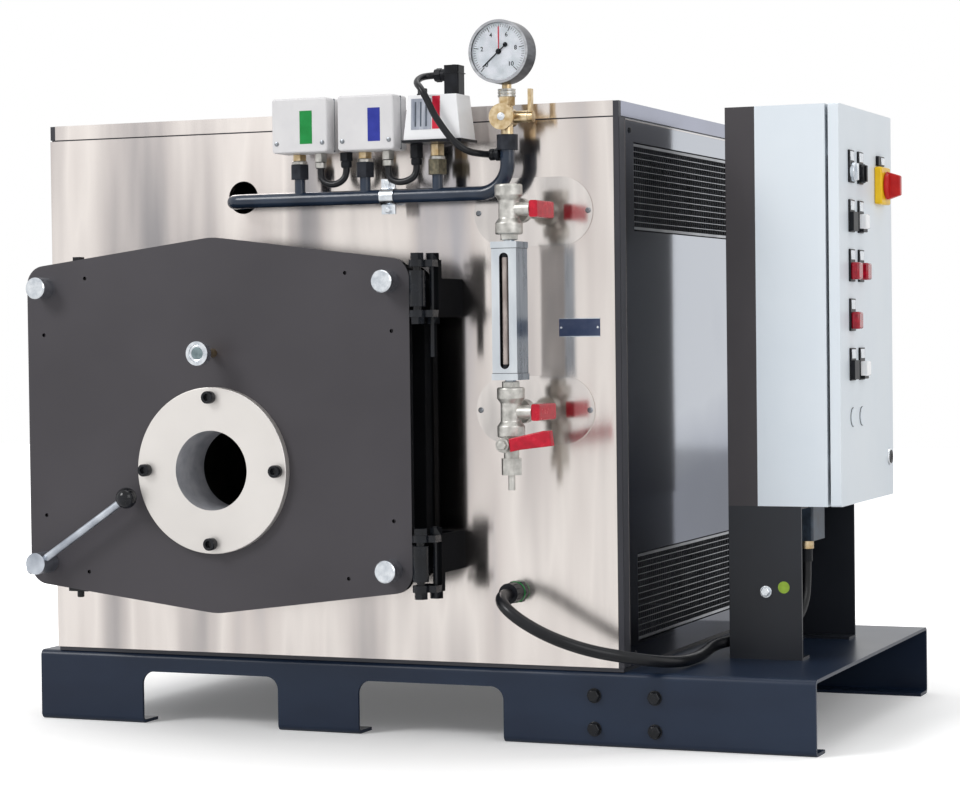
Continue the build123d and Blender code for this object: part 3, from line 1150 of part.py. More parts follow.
HOSE_ROUTE = (
    (HOSE_GLAND_X, HOSE_GLAND_Y, HOSE_GLAND_Z),
    (HOSE_GLAND_X, HOSE_GLAND_Y - 30, HOSE_GLAND_Z),
    (HOSE_GLAND_X + 16, HOSE_GLAND_Y - 60, HOSE_GLAND_Z - 12),
    (HOSE_GLAND_X + 49, HOSE_GLAND_Y - 66, HOSE_GLAND_Z - 34),
    (HOSE_GLAND_X + 92, HOSE_GLAND_Y - 60, SKID_HEIGHT + 58),
    (HOSE_GLAND_X + 139, HOSE_GLAND_Y - 40, SKID_HEIGHT + 40),
    (CASING_RIGHT + 17, FRONT_Y - 44, SKID_HEIGHT + 28),
    (CASING_RIGHT + 49, FRONT_Y, SKID_HEIGHT + 18),
    (CASING_RIGHT + 65, FRONT_Y + 52, SKID_HEIGHT + 12),
    (CASING_RIGHT + 69, FRONT_Y + 106, SKID_HEIGHT + 10),
    (CASING_RIGHT + 69, FRONT_Y + 160, SKID_HEIGHT + 11),
    (CASING_RIGHT + 72, FRONT_Y + 206, SKID_HEIGHT + 20),
    (STAND_LEFT_X + 2, HOSE_HOLE_Y, HOSE_HOLE_Z),
    (CONNECTOR_X - 40, CONNECTOR_Y - 122, SKID_HEIGHT + 28),
    (CONNECTOR_X - 18, CONNECTOR_Y - 84, SKID_HEIGHT + 33),
    (CONNECTOR_X - 6, CONNECTOR_Y - 34, SKID_HEIGHT + 46),
    (CONNECTOR_X - 1, CONNECTOR_Y - 8, SKID_HEIGHT + 72),
    (CONNECTOR_X, CONNECTOR_Y, HOSE_TOP - 31),
    (CONNECTOR_X, CONNECTOR_Y, HOSE_TOP),
)


def bend_radii(points):
    """Each corner's radius: 0.45 of its shorter run over the tangent of half the turn."""
    radii = []
    for before, corner, after in zip(points, points[1:], points[2:]):
        run_in = Vector(*corner) - Vector(*before)
        run_out = Vector(*after) - Vector(*corner)
        turn = math.radians(run_in.get_angle(run_out))
        radii.append(0.45 * min(run_in.length, run_out.length) / math.tan(turn / 2))
    return radii


def cord_along(name, points, radius):
    """A cord's solid, with its radii and length printed."""
    radii = bend_radii(points)
    path = FilletPolyline(*points, radius=radii)
    solid = pipe_along(points, radii, radius)
    print(name, "length", round(path.length, 1), "least radius", round(min(radii), 1),
          "volume share", round(solid.volume / (math.pi * radius ** 2 * path.length), 4))
    return solid


def front_hose():
    """The black hose from the front gland, round the corner and up to the cabinet's plug."""
    return cord_along("front_hose", HOSE_ROUTE, HOSE_RADIUS)


# Leads between the pressure switches


def lead_route(x0, x1):
    """The route of a lead that hangs between two glands."""
    y = SWITCH_Y
    low = LEAD_TOP - LEAD_DROP
    return ((x0, y, LEAD_TOP), (x0, y, LEAD_TOP - 11), (x0 + 7, y - 2, low + 4), (x0 + 22, y - 3, low),
            (x1 - 6, y - 3, low + 5), (x1, y, LEAD_TOP - 10), (x1, y, LEAD_TOP))


def lead_ends():
    """The places of the four glands of the two leads, in pairs."""
    branches = (*SWITCH_BRANCHES, LIMITER_X)
    return [(left + out, right - back) for left, right, out, back in zip(branches, branches[1:], LEAD_OUT, LEAD_BACK)]


def switch_lead_left():
    """The lead from the first switch to the second."""
    return cord_along("switch_lead_left", lead_route(*lead_ends()[0]), LEAD_RADIUS)


def switch_lead_right():
    """The lead from the second switch to the limiter."""
    return cord_along("switch_lead_right", lead_route(*lead_ends()[1]), LEAD_RADIUS)


def limiter_lead():
    """The lead from the limiter's plug, down across its cover and back to the riser."""
    x, y, z = PLUG_MIDDLE - PLUG_REACH, SWITCH_Y, PLUG_NECK_Z
    end = RISER_X - PIPE_RADIUS - RUNNING_GAP
    low = RISER_TOP - LEAD_RADIUS - 1
    route = ((x, y, z), (x - 10, y, z), (x - 19, y - 12, z - 3), (x - 19, y - 29, z - 12),
             (x - 6, y - 42, z - 21), (x + 6, y - 44, z - 41), (x + 16, y - 45.5, z - 60.5),
             (x + 28, y - 45, z - 78), (x + 40, y - 43, z - 95), (end - 42.5, y - 39, low + 9.5),
             (end - 31, y - 30, low + 2),
             (end - 23, y - 10, low + 0.5), (end - 16, MANIFOLD_Y, low), (end, MANIFOLD_Y, low))
    return cord_along("limiter_lead", route, LEAD_RADIUS)


def cable_glands():
    """The glands that the hose and the leads come out of."""
    glands = [rod_y(HOSE_GLAND_X, HOSE_GLAND_Z, HOSE_GLAND_Y, FRONT_Y, HOSE_GLAND_RADIUS)]
    first, second = lead_ends()
    for x, top in zip((*first, *second), (SWITCH_Z, SWITCH_Z, SWITCH_Z, LIMITER_Z)):
        glands.append(rod_z(x, SWITCH_Y, LEAD_TOP, top, LEAD_GLAND_RADIUS))
    return glands


NODES = (
    skid_main, skid_deck, splice_plates,
    casing_frame, front_panel, left_panel, right_panel, rear_panel, roof_cap, side_grilles,
    vessel_shell, tube_plate, tube_nest, furnace_tube, vessel_saddles, flue_collar, door_frame,
    door_plate, door_lining, burner_flange, sight_glass, closing_nuts, clamp_lever,
    hinge_brackets, door_knuckles,
    manifold_pipe, pressure_switches, pressure_limiter, limiter_plug, gauge_cock, cock_lever, pressure_gauge,
    pipe_clamp,
    cover_plates, gauge_cocks, glass_frame, gauge_glass, upper_cock_lever, lower_cock_lever, drain_cock, drain_lever,
    cabinet_stand, cabinet_post, cabinet_body, mounting_plate, cabinet_door, door_controls, main_switch_handle,
    cabinet_connector, cable_glands, front_hose, switch_lead_left, switch_lead_right, limiter_lead,
)
CORDS = ("front_hose", "switch_lead_left", "switch_lead_right", "limiter_lead")


def build_parts():
    """Every node's solid, by name, in the drawing frame."""
    solids = {}
    for make in NODES:
        made = make()
        pieces = made if isinstance(made, list) else [made]
        solids[make.__name__] = Compound(children=[s for piece in pieces for s in piece.solids()])
    return solids


def frame_shift(solids):
    """The move that brings the footprint's middle to the origin, measured without the cords."""
    rigid = Compound(children=[Compound(shape.wrapped) for name, shape in solids.items() if name not in CORDS])
    box = rigid.bounding_box()
    return Vector(-(box.min.X + box.max.X) / 2, -(box.min.Y + box.max.Y) / 2, -box.min.Z)


def write_parts():
    """Write one STEP file for each node."""
    solids = build_parts()
    shift = frame_shift(solids)
    print("shift", tuple(shift))
    os.makedirs("parts", exist_ok=True)
    for name, shape in solids.items():
        export_step(Pos(*shift) * shape, f"parts/{name}.step")
    return solids, shift


SOLIDS, SHIFT = write_parts()
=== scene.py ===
import logging
import math
from dataclasses import dataclass, field
from enum import Enum
from typing import Callable, Optional, Sequence

import bmesh
import bpy
from mathutils import Matrix, Vector


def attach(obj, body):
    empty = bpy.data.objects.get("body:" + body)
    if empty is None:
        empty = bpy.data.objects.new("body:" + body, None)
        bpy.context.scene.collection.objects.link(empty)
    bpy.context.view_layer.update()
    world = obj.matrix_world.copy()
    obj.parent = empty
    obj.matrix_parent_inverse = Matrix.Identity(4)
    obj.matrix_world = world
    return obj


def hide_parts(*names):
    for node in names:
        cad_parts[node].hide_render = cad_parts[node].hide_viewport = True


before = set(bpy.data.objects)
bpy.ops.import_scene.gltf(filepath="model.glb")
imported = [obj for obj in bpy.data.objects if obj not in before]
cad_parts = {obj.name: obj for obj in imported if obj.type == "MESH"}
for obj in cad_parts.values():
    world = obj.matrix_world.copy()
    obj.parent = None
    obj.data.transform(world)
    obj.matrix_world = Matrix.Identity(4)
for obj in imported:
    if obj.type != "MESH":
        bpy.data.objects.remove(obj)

LOG = logging.getLogger("boiler")
MM = 0.001
# The part is drawn round the middle of its skid, and the row frame's origin is this far from there.
SHIFT_MM = Vector((-14.65, 31.0, 0.0))
NODES: dict[str, bpy.types.Object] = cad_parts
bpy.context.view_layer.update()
WHITE = "#ffffff"
SMOOTH_DEG = 35.0
BEVEL_DEG = 40.0

Pair = tuple[float, float]
Point = tuple[float, float, float]
Profile = Sequence[Pair]
Tree = bpy.types.NodeTree
Socket = bpy.types.NodeSocket
Material = bpy.types.Material
Chooser = Callable[[Vector, Vector], bool]


class Body(Enum):
    """The bodies that pieces ride on."""

    BOILER = "boiler"
    DOOR = "burner_door"
    CABINET_LEAF = "cabinet_leaf"
    MAIN_SWITCH = "main_switch"
    DRAIN = "drain_handle"


class Axis(Enum):
    """The direction that a turned piece points in."""

    X = (1.0, 0.0, 0.0)
    Y = (0.0, 1.0, 0.0)
    Z = (0.0, 0.0, 1.0)
    FRONT = (0.0, -1.0, 0.0)
    DOWN = (0.0, 0.0, -1.0)


def place(x: float, y: float, z: float) -> Vector:
    """A point given in millimetres from the middle of the skid, in metres in the row frame."""
    return (Vector((x, y, z)) + SHIFT_MM) * MM


# Tools for finishes


def linear(code: str) -> tuple[float, float, float, float]:
    """Turn an sRGB hex colour to linear light.

    Args:
        code: Six hex digits after a hash.

    Returns:
        Linear red, green and blue, and full opacity.
    """
    parts = [int(code[i:i + 2], 16) / 255 for i in (1, 3, 5)]
    red, green, blue = (c / 12.92 if c <= 0.04045 else ((c + 0.055) / 1.055) ** 2.4 for c in parts)
    return red, green, blue, 1.0


def fill(tree: Tree, node: bpy.types.Node, settings: Optional[dict] = None, links: Optional[dict] = None) -> None:
    """Give a shader node its settings and links.

    Args:
        tree: The material's node tree.
        node: The node to set.
        settings: Property names and socket names with their values.
        links: Socket names with the output sockets that feed them.
    """
    for name, value in (settings or {}).items():
        if isinstance(name, int) or name in node.inputs:
            node.inputs[name].default_value = value
        else:
            setattr(node, name, value)
    for name, source in (links or {}).items():
        tree.links.new(source, node.inputs[name])


def add_node(tree: Tree, kind: str, settings: Optional[dict] = None,
             links: Optional[dict] = None) -> bpy.types.Node:
    """Add one shader node with its settings and links.

    Args:
        tree: The material's node tree.
        kind: The node's type, without its ShaderNode prefix.
        settings: Property names and socket names with their values.
        links: Socket names with the output sockets that feed them.

    Returns:
        The new node.
    """
    node = tree.nodes.new("ShaderNode" + kind)
    fill(tree, node, settings, links)
    return node


def blank(name: str) -> tuple[Material, Tree, bpy.types.Node]:
    """Make a material with its tree and its Principled shader.

    Args:
        name: The material's name.

    Returns:
        The material, its node tree and the shader node.
    """
    material = bpy.data.materials.new(name)
    material.use_nodes = True
    tree = material.node_tree
    return material, tree, tree.nodes["Principled BSDF"]


def ramp(tree: Tree, source: Socket, stops: Sequence[tuple[float, str]]) -> Socket:
    """Colour a value by stops.

    Args:
        tree: The material's node tree.
        source: The value to colour.
        stops: Places from 0 to 1 with their hex colours, in order.

    Returns:
        The colour socket.
    """
    node = add_node(tree, "ValToRGB", links={"Fac": source})
    elements = node.color_ramp.elements
    while len(elements) < len(stops):
        elements.new(0.5)
    for element, (position, code) in zip(elements, stops):
        element.position = position
        element.color = linear(code)
    return node.outputs["Color"]


def mapped(tree: Tree, source: Socket, to: Pair, start: Pair = (0.0, 1.0)) -> Socket:
    """Map a value from one range to another.

    Args:
        tree: The material's node tree.
        source: The value.
        to: The range that it gets.
        start: The range that it has.

    Returns:
        The mapped value.
    """
    ends = {"From Min": start[0], "From Max": start[1], "To Min": to[0], "To Max": to[1]}
    return add_node(tree, "MapRange", ends, {"Value": source}).outputs["Result"]


def object_noise(tree: Tree, spacing_mm: float | Point, detail: float = 2.0, roughness: float = 0.5) -> Socket:
    """Noise in the object's own space.

    Args:
        tree: The material's node tree.
        spacing_mm: The size of one noise cell, or its sizes along X, Y and Z.
        detail: The number of finer layers.
        roughness: How strong the finer layers are.

    Returns:
        The noise value, from 0 to 1.
    """
    sizes = spacing_mm if isinstance(spacing_mm, tuple) else (spacing_mm,) * 3
    where = add_node(tree, "TexCoord").outputs["Object"]
    spread = add_node(tree, "Mapping", {"Scale": tuple(1 / (s * MM) for s in sizes)}, {"Vector": where})
    noise = add_node(tree, "TexNoise", {"Scale": 1.0, "Detail": detail, "Roughness": roughness},
                     {"Vector": spread.outputs["Vector"]})
    return noise.outputs["Fac"]


def bump(tree: Tree, height: Socket, strength: float, depth_mm: float, under: Optional[Socket] = None) -> Socket:
    """Turn a height to a normal.

    Args:
        tree: The material's node tree.
        height: The height, from 0 to 1.
        strength: How much of it counts.
        depth_mm: The depth from 0 to 1.
        under: A coarser normal that it lies on.

    Returns:
        The normal.
    """
    links = {"Height": height, "Normal": under} if under else {"Height": height}
    return add_node(tree, "Bump", {"Strength": strength, "Distance": depth_mm * MM}, links).outputs["Normal"]


@dataclass(frozen=True)
class Finish:
    """One finish: a real material and how its surface was made.

    The colour wanders between two close tones over a real distance, the roughness follows it, and a
    fine bump gives the surface's own grain. Dark finishes take less of the white room in their gloss,
    because the photograph's room was darker than this one.
    """

    name: str
    slot: str
    dark: str
    pale: str
    roughness: float
    metallic: float = 0.0
    patch_mm: float | Point = 60.0
    grain: float = 0.1
    grain_mm: float | Point = 1.5
    grain_depth_mm: float = 0.05
    coat: float = 0.0
    spread: float = 0.06
    gloss: float = 0.5

    def make(self) -> Material:
        """Build the material.

        Returns:
            The finished material, ready for any piece.
        """
        material, tree, shader = blank(self.name)
        patches = object_noise(tree, self.patch_mm, 3.0)
        rough = mapped(tree, patches, (self.roughness - self.spread, self.roughness + self.spread))
        normal = bump(tree, object_noise(tree, self.grain_mm), self.grain, self.grain_depth_mm)
        fill(tree, shader, {"Metallic": self.metallic, "Coat Weight": self.coat, "Coat Roughness": 0.12,
                            "Specular IOR Level": self.gloss},
             {"Base Color": ramp(tree, patches, ((0.3, self.dark), (0.7, self.pale))), "Roughness": rough,
              "Normal": normal})
        return material


@dataclass(frozen=True)
class BandedSteel:
    """Stainless sheet, cold rolled and polished: a soft mirror with slow upright bands of painted reflection in its
    colour.

    The eye reads a pale warm metal with painted reflection bands of grey and beige in its colour, a sharp dark mirror
    image of the door beside it, and a slight waviness of thin sheet.
    """

    name: str
    stops: tuple[tuple[float, str], ...]
    roughness: float = 0.11
    band_mm: Point = (150.0, 150.0, 1500.0)
    wave_mm: float | Point = (230.0, 230.0, 330.0)
    wave: float = 0.12
    anisotropic: float = 0.6
    reflection_rise_mm: Optional[Pair] = None
    slot: str = "polished_steel"
    spread: float = 0.03

    def make(self) -> Material:
        """Build the material.

        Returns:
            The finished material, ready for any sheet.
        """
        material, tree, shader = blank(self.name)
        # Painted reflection: object-space noise bands in the base colour stand in for the soft reflections of the
        # room.
        bands = object_noise(tree, self.band_mm, 3.0, 0.45)
        if self.reflection_rise_mm:
            bands = self.painted_deck_reflection(tree, bands)
        # Brushing lines are about 0.1 mm apart, drawn 1.2 mm apart so that they show at this size.
        brush = object_noise(tree, (1.2, 1.2, 90.0))
        rough = mapped(tree, brush, (self.roughness - self.spread, self.roughness + self.spread))
        slow = bump(tree, object_noise(tree, self.wave_mm, 1.0), self.wave, 1.5)
        # A quarter turn of the gloss smears what the sheet mirrors up and down, as rolling does.
        fill(tree, shader, {"Metallic": 1.0, "Anisotropic": self.anisotropic, "Anisotropic Rotation": 0.25},
             {"Base Color": ramp(tree, bands, self.stops), "Roughness": rough,
              "Normal": bump(tree, brush, 0.05, 0.04, slow)})
        return material

    def painted_deck_reflection(self, tree: Tree, bands: Socket) -> Socket:
        """Painted reflection: let the tone follow the height, darker towards the foot, as the mirrored dark deck
        below the sheet.

        Args:
            tree: The material's node tree.
            bands: The band noise that breaks the rise up.

        Returns:
            The mixed value, from 0 to 1.
        """
        where = add_node(tree, "TexCoord").outputs["Object"]
        parts = add_node(tree, "SeparateXYZ", links={"Vector": where})
        low, high = self.reflection_rise_mm
        height = mapped(tree, parts.outputs["Z"], (0.0, 0.8), (low * MM, high * MM))
        noise = mapped(tree, bands, (0.0, 0.2), (0.3, 0.7))
        return add_node(tree, "Math", {"operation": "ADD"}, {0: height, 1: noise}).outputs[0]


@dataclass(frozen=True)
class ClearGlass:
    """Float glass, fire polished: the eye sees mostly what is behind it and a sharp gloss."""

    name: str = "float_glass_polished"
    slot: str = "glass"

    def make(self) -> Material:
        """Build the material."""
        material, tree, shader = blank(self.name)
        dust = object_noise(tree, 14.0, 3.0)
        fill(tree, shader, {"Transmission Weight": 1.0, "IOR": 1.05},
             {"Base Color": ramp(tree, dust, ((0.3, "#eef2f2"), (0.7, WHITE))),
              "Roughness": mapped(tree, dust, (0.0, 0.05))})
        return material


AnyFinish = Finish | BandedSteel | ClearGlass

# Folded mild steel under satin powder coat: an even slate blue-black with a fine soft grain.
SKID_PAINT = Finish("mild_steel_satin_slate_coat", "skid_paint", "#172235", "#1f2c40", 0.32, gloss=0.3,
                    patch_mm=(220, 220, 90), grain=0.2, grain_mm=1.6)
# Welded tube and channel under satin black paint: dark, slightly warm, smooth.
FRAME_PAINT = Finish("mild_steel_satin_black_paint", "frame_paint", "#2f3036", "#39393f", 0.38, gloss=0.35,
                     patch_mm=160, grain=0.2)
# Folded stand under the same paint, newer: cooler and a little deeper.
STAND_PAINT = Finish("mild_steel_satin_blue_black_paint", "frame_paint", "#1f2228", "#282b32", 0.34,
                     gloss=0.35, patch_mm=160, grain=0.2)
# Tall post behind the cabinet under the same paint, worn paler and warmer.
POST_PAINT = Finish("mild_steel_satin_warm_black_paint", "frame_paint", "#3b383b", "#474447", 0.42,
                    gloss=0.35, patch_mm=(160, 160, 300), grain=0.2)
# Door plate under a rough heat resisting paint: charcoal with a sandy grain that breaks the gloss.
DOOR_PAINT = Finish("steel_plate_heat_paint_textured", "door_paint", "#2f2c31", "#3a373c", 0.50,
                    patch_mm=(260, 260, 200), grain=0.5, grain_mm=1.3, grain_depth_mm=0.12, spread=0.05)
# Forged hinge parts under black gloss enamel: nearly black, with small bright lights on the edges.
HINGE_PAINT = Finish("steel_forging_black_enamel", "door_paint", "#0e1014", "#181b21", 0.26, gloss=0.15,
                     patch_mm=30, grain=0.3, coat=0.3)
# Painted shade: the box behind the door, the door's back and right side, the hinge parts behind it and the lining's
# sides are near black as the shade there, so that their mirror image beside the door is dark too.
PAINTED_SHADE_BLACK = Finish("mild_steel_painted_shade_black", "door_paint", "#07080a", "#0f1013", 0.75, gloss=0.05,
                    patch_mm=80, grain=0.3, grain_mm=2.0, grain_depth_mm=0.08)
# Turned flange face: pale bare steel, even, with fine circular marks.
TURNED_STEEL = Finish("carbon_steel_face_turned", "machined_steel", "#d6d2ce", "#dedad6", 0.42, 0.75,
                      patch_mm=160, grain=0.3, grain_mm=1.0)
# Rolled wall of the burner's throat: a pale blue-grey, paler than the steel, painted as the light reaching into it,
# with patches of tone.
THROAT_STEEL = Finish("carbon_steel_throat_painted_light", "raw_steel", "#a4a6ad", "#c6c6ca", 0.45, 0.3,
                      patch_mm=24, grain=0.5, grain_mm=1.4, grain_depth_mm=0.1)
# Zinc plated hardware: bright, bluish, slightly cloudy. The small screws and the bar are duller.
ZINC = Finish("steel_zinc_plated_bright", "zinc", "#c3c9d0", "#e4e8ec", 0.24, 1.0, patch_mm=9, grain=0.15)
SCREW_STEEL = Finish("steel_screw_dull", "zinc", "#6f7378", "#8d9196", 0.35, 1.0, patch_mm=6, grain=0.15)
LEVER_STEEL = Finish("steel_bar_dull_zinc", "zinc", "#9aa0aa", "#c6ccd4", 0.32, 1.0, patch_mm=26, grain=0.2)
# Steel pipe under blue-black gloss paint: a long pale light along its top.
PIPE_PAINT = Finish("steel_pipe_blue_black_enamel", "pipe_paint", "#1d2838", "#2a3648", 0.25, gloss=0.35,
                    patch_mm=50, grain=0.2, grain_mm=2.5, coat=0.2, spread=0.04)
# Cast fittings left black: dry, coarse and matt beside the enamel.
UNION_IRON = Finish("malleable_iron_black", "pipe_paint", "#23252b", "#33363d", 0.46, gloss=0.15,
                    patch_mm=12, grain=0.6, grain_mm=1.2, grain_depth_mm=0.12)
# Moulded switch covers: pale grey thermoplastic, slightly satin. The limiter's is white.
GREY_ABS = Finish("abs_light_grey_moulded", "grey_plastic", "#d0cfd1", "#d9d8d9", 0.38, patch_mm=40,
                  grain=0.2, grain_mm=0.8)
WHITE_ABS = Finish("abs_white_moulded", "grey_plastic", "#eaebed", "#f3f3f5", 0.34, patch_mm=40,
                   grain=0.15, grain_mm=0.8)
# Push caps: opal acrylic, clean white with a wet gloss.
WHITE_CAP = Finish("acrylic_opal_white_cap", "grey_plastic", "#f6f8fb", "#fdfdfe", 0.2, patch_mm=8,
                   grain=0.05, coat=0.3, spread=0.03)
# Plug hood: die casting under dark blue-grey paint.
HOOD_PAINT = Finish("zinc_die_cast_blue_grey_paint", "grey_plastic", "#2c333d", "#43505f", 0.42,
                    patch_mm=14, grain=0.3)
# Moulded glands, plugs and unit bodies: black nylon, soft gloss.
BLACK_ABS = Finish("polyamide_black_moulded", "black_plastic", "#141518", "#1f2126", 0.35, gloss=0.15,
                   patch_mm=16, grain=0.25, grain_mm=0.9)
# Lever ball: hard phenolic, polished, with one sharp light.
PHENOLIC = Finish("phenolic_ball_polished", "black_plastic", "#0f1014", "#191b21", 0.13, gloss=0.3,
                  patch_mm=20, grain=0.05, spread=0.03)
# Cast and turned brass, a little dull: pale yellow going to brown in the corners.
BRASS = Finish("brass_cast_tumbled", "brass", "#b09468", "#dccaa8", 0.30, 1.0, patch_mm=9, grain=0.3,
               grain_mm=1.0)
# Nickel plated brass castings: pale warm grey, matt, with a fine sandy casting skin.
NICKEL = Finish("brass_nickel_plated_satin", "nickel", "#a5a49f", "#cfcdc8", 0.38, 0.9, patch_mm=10,
                grain=0.45, grain_mm=1.2, grain_depth_mm=0.08)
# The gauge's frame: extruded aluminium, anodised, bluish white and smooth, and shaded on its side.
FRAME_ALLOY = Finish("aluminium_extruded_anodised", "nickel", "#b9bfc6", "#d3d8dc", 0.34, 0.85,
                     patch_mm=(30, 30, 90), grain=0.15)
ALLOY_SIDE = Finish("aluminium_extruded_anodised_shaded", "nickel", "#6f7b88", "#97a2ae", 0.28, 0.9,
                    patch_mm=(30, 14, 90), grain=0.15)
# Knurled union: brass gone dark between the knurls.
KNURLED_BRASS = Finish("brass_knurled_tarnished", "brass", "#4d4a40", "#77715f", 0.42, 0.9, patch_mm=5,
                       grain=0.8, grain_mm=1.6, grain_depth_mm=0.3)
# Old sight tube: borosilicate glass, clouded beige by the water.
CLOUDED_TUBE = Finish("borosilicate_tube_clouded", "glass", "#8a7d78", "#b9aea8", 0.12, patch_mm=(8, 8, 26),
                      coat=0.5)
# Vinyl dipped onto the levers: red, soft gloss, with slow runs.
RED_VINYL = Finish("vinyl_red_dipped", "red_plastic", "#a8142a", "#c81c34", 0.26, gloss=0.25, patch_mm=12,
                   grain=0.3, grain_mm=4.0, grain_depth_mm=0.2, coat=0.1)
# Switch handle: moulded nylon, an even orange-red.
RED_KNOB = Finish("polyamide_red_moulded", "red_plastic", "#b51a1e", "#cc2a26", 0.32, gloss=0.25,
                  patch_mm=12, grain=0.15)
# Lamp lens: clear red acrylic over a dark lamp, with a wet gloss.
LAMP_RED = Finish("acrylic_red_lens", "red_plastic", "#8c0a20", "#b8142c", 0.12, gloss=0.35, patch_mm=7,
                  grain=0.2, grain_mm=(1.6, 1.6, 6.0), grain_depth_mm=0.2, coat=0.3, spread=0.03)
# Switch base: moulded nylon, signal yellow.
YELLOW_PLATE = Finish("polyamide_yellow_moulded", "black_plastic", "#eebd10", "#f8cc26", 0.34, gloss=0.3,
                      patch_mm=20, grain=0.15)
# Sheet cabinet under pale grey powder coat: a fine orange-peel skin.
CABINET_PAINT = Finish("mild_steel_light_grey_powder_coat", "cabinet_paint", "#dde6ee", "#e6edf3", 0.40,
                       patch_mm=(180, 180, 240), grain=0.35, grain_mm=2.2, grain_depth_mm=0.06, spread=0.04)
# Extruded cable sheath: black, softly shining.
RUBBER = Finish("pvc_sheath_black_extruded", "hose_rubber", "#101114", "#1a1b1f", 0.34, gloss=0.2,
                patch_mm=30, grain=0.25, grain_mm=1.4, coat=0.15)
# Cast refractory: dull buff-grey, coarse and pitted.
LINING = Finish("refractory_cast_grey", "lining", "#6c6a66", "#93908a", 0.9, patch_mm=14, grain=0.8,
                grain_mm=3.0, grain_depth_mm=0.6)
# Boiler plate as rolled: dark scale with browner patches.
RAW_STEEL = Finish("boiler_plate_mill_scale", "raw_steel", "#2c2b2e", "#4a4745", 0.6, 0.6, patch_mm=40,
                   grain=0.4)
# Plain vinyl film, cut and stuck on: flat bright fields with a faint sheen.
LIME_FILM = Finish("vinyl_lime_film", "black_plastic", "#8fae2f", "#a0c43a", 0.4, patch_mm=8)
GREEN_FILM = Finish("vinyl_green_film", "black_plastic", "#0f7a34", "#1a8a42", 0.35, gloss=0.25,
                    patch_mm=16, grain=0.05)
BLUE_FILM = Finish("vinyl_blue_film", "black_plastic", "#26308c", "#323c9c", 0.35, gloss=0.25,
                   patch_mm=16, grain=0.05)
RED_FILM = Finish("vinyl_red_film", "red_plastic", "#c01a34", "#d42a44", 0.35, gloss=0.25, patch_mm=16,
                  grain=0.05)
# Tinted sight: grey-green glass over a dark tube.
SIGHT_TINT = Finish("glass_tinted_sight", "glass", "#56686c", "#7d9094", 0.08, patch_mm=9, grain=0.03,
                    coat=0.5, spread=0.02)
# Window of the limiter: polycarbonate with the scale's grey behind it.
WINDOW = Finish("polycarbonate_window_smoked", "glass", "#7f8695", "#b4b9c4", 0.12, patch_mm=(9, 9, 40),
                grain=0.05, coat=0.4)
# Dial: white lacquer on aluminium in a stainless case, polished in front; the case's side is painted dark as shade.
DIAL_WHITE = Finish("aluminium_dial_white_lacquer", "machined_steel", "#c9cbd2", "#d4d6dc", 0.4,
                    patch_mm=30, grain=0.05)
DIAL_SHADE_STEEL = Finish("stainless_case_side_painted_shade", "machined_steel", "#2c2e34", "#5a5c62", 0.3, 1.0,
                   patch_mm=(6, 30, 6), grain=0.3, grain_mm=(1.0, 6.0, 1.0))
DIAL_CASE = Finish("stainless_case_polished", "machined_steel", "#9a9ca0", "#c0c2c6", 0.15, 1.0,
                   patch_mm=(40, 40, 8), grain=0.05, spread=0.03)
# Bare data plate: dark blue anodised aluminium.
BARE_PLATE = Finish("aluminium_plate_dark_anodised", "black_plastic", "#2c3a5a", "#46506a", 0.3, 0.5,
                    patch_mm=22, grain=0.2)
# Punched grille: dull stainless bars, and its uprights in their shade.
GRILLE_STEEL = Finish("stainless_punched_sheet", "grille_steel", "#8d9096", "#b5b8bc", 0.3, 1.0)
GRILLE_BACK = Finish("stainless_punched_sheet_shaded", "grille_steel", "#5c5f66", "#74777e", 0.4, 1.0)
# Front, left and rear sheets: warm pale bands of painted reflection.
FRONT_STEEL = BandedSteel("stainless_sheet_polished_front",
                          ((0.30, "#9a9798"), (0.42, "#c6bfbc"), (0.52, "#e4ddd8"), (0.62, "#d0c8c4"),
                           (0.74, "#aeacb0")), roughness=0.155, band_mm=(110, 110, 1100), anisotropic=0.9)
# The roof is one calm sheet, seen almost edge on from the front; its top faces get their own even tone as painted
# reflection.
ROOF_STEEL = BandedSteel("stainless_sheet_roof_painted_reflection", ((0.3, "#b3afad"), (0.7, "#bebab8")),
                         roughness=0.2, band_mm=(1400, 500, 500), wave_mm=400, wave=0.05)
# The side sheet's colour is painted reflection: the dark deck at its foot and the pale room higher up.
SIDE_STEEL = BandedSteel("stainless_sheet_mirror_side",
                         ((0.05, "#3c404d"), (0.35, "#6a7080"), (0.62, "#8a90a0"), (0.85, "#b4b9c2")),
                         roughness=0.08, band_mm=(400, 400, 420), wave=0.3, anisotropic=0.3,
                         reflection_rise_mm=(120.0, 520.0))
# The roof's edge over the side: painted shade, a darker, even cool grey copy of the same sheet.
CAP_SIDE_STEEL = BandedSteel("stainless_sheet_cap_edge_painted_shade", ((0.3, "#9094a4"), (0.7, "#9a9eb0")), roughness=0.14)
# Round cover plates and the side's hems: painted highlight, a brighter copy of the polished sheet that they lie on.
HIGHLIGHT_STEEL = BandedSteel("stainless_plate_mirror_painted_highlight", ((0.35, "#c5c0bd"), (0.5, "#ded8d4"), (0.7, "#cfc9c6")),
                          roughness=0.13, band_mm=(60, 60, 200), wave=0.2)
GLASS = ClearGlass()

MADE: dict[str, Material] = {}


def material_of(finish: AnyFinish) -> Material:
    """The material of a finish, made once."""
    if finish.name not in MADE:
        MADE[finish.name] = finish.make()
    return MADE[finish.name]


# Tools for shapes


def soften(piece: bpy.types.Object, width_mm: float) -> None:
    """Round a piece's sharp edges over a width, or leave them where it is 0."""
    if width_mm:
        edge = piece.modifiers.new("edge", "BEVEL")
        edge.width = width_mm * MM
        edge.segments = 2
        edge.limit_method = "ANGLE"
        edge.angle_limit = math.radians(BEVEL_DEG)


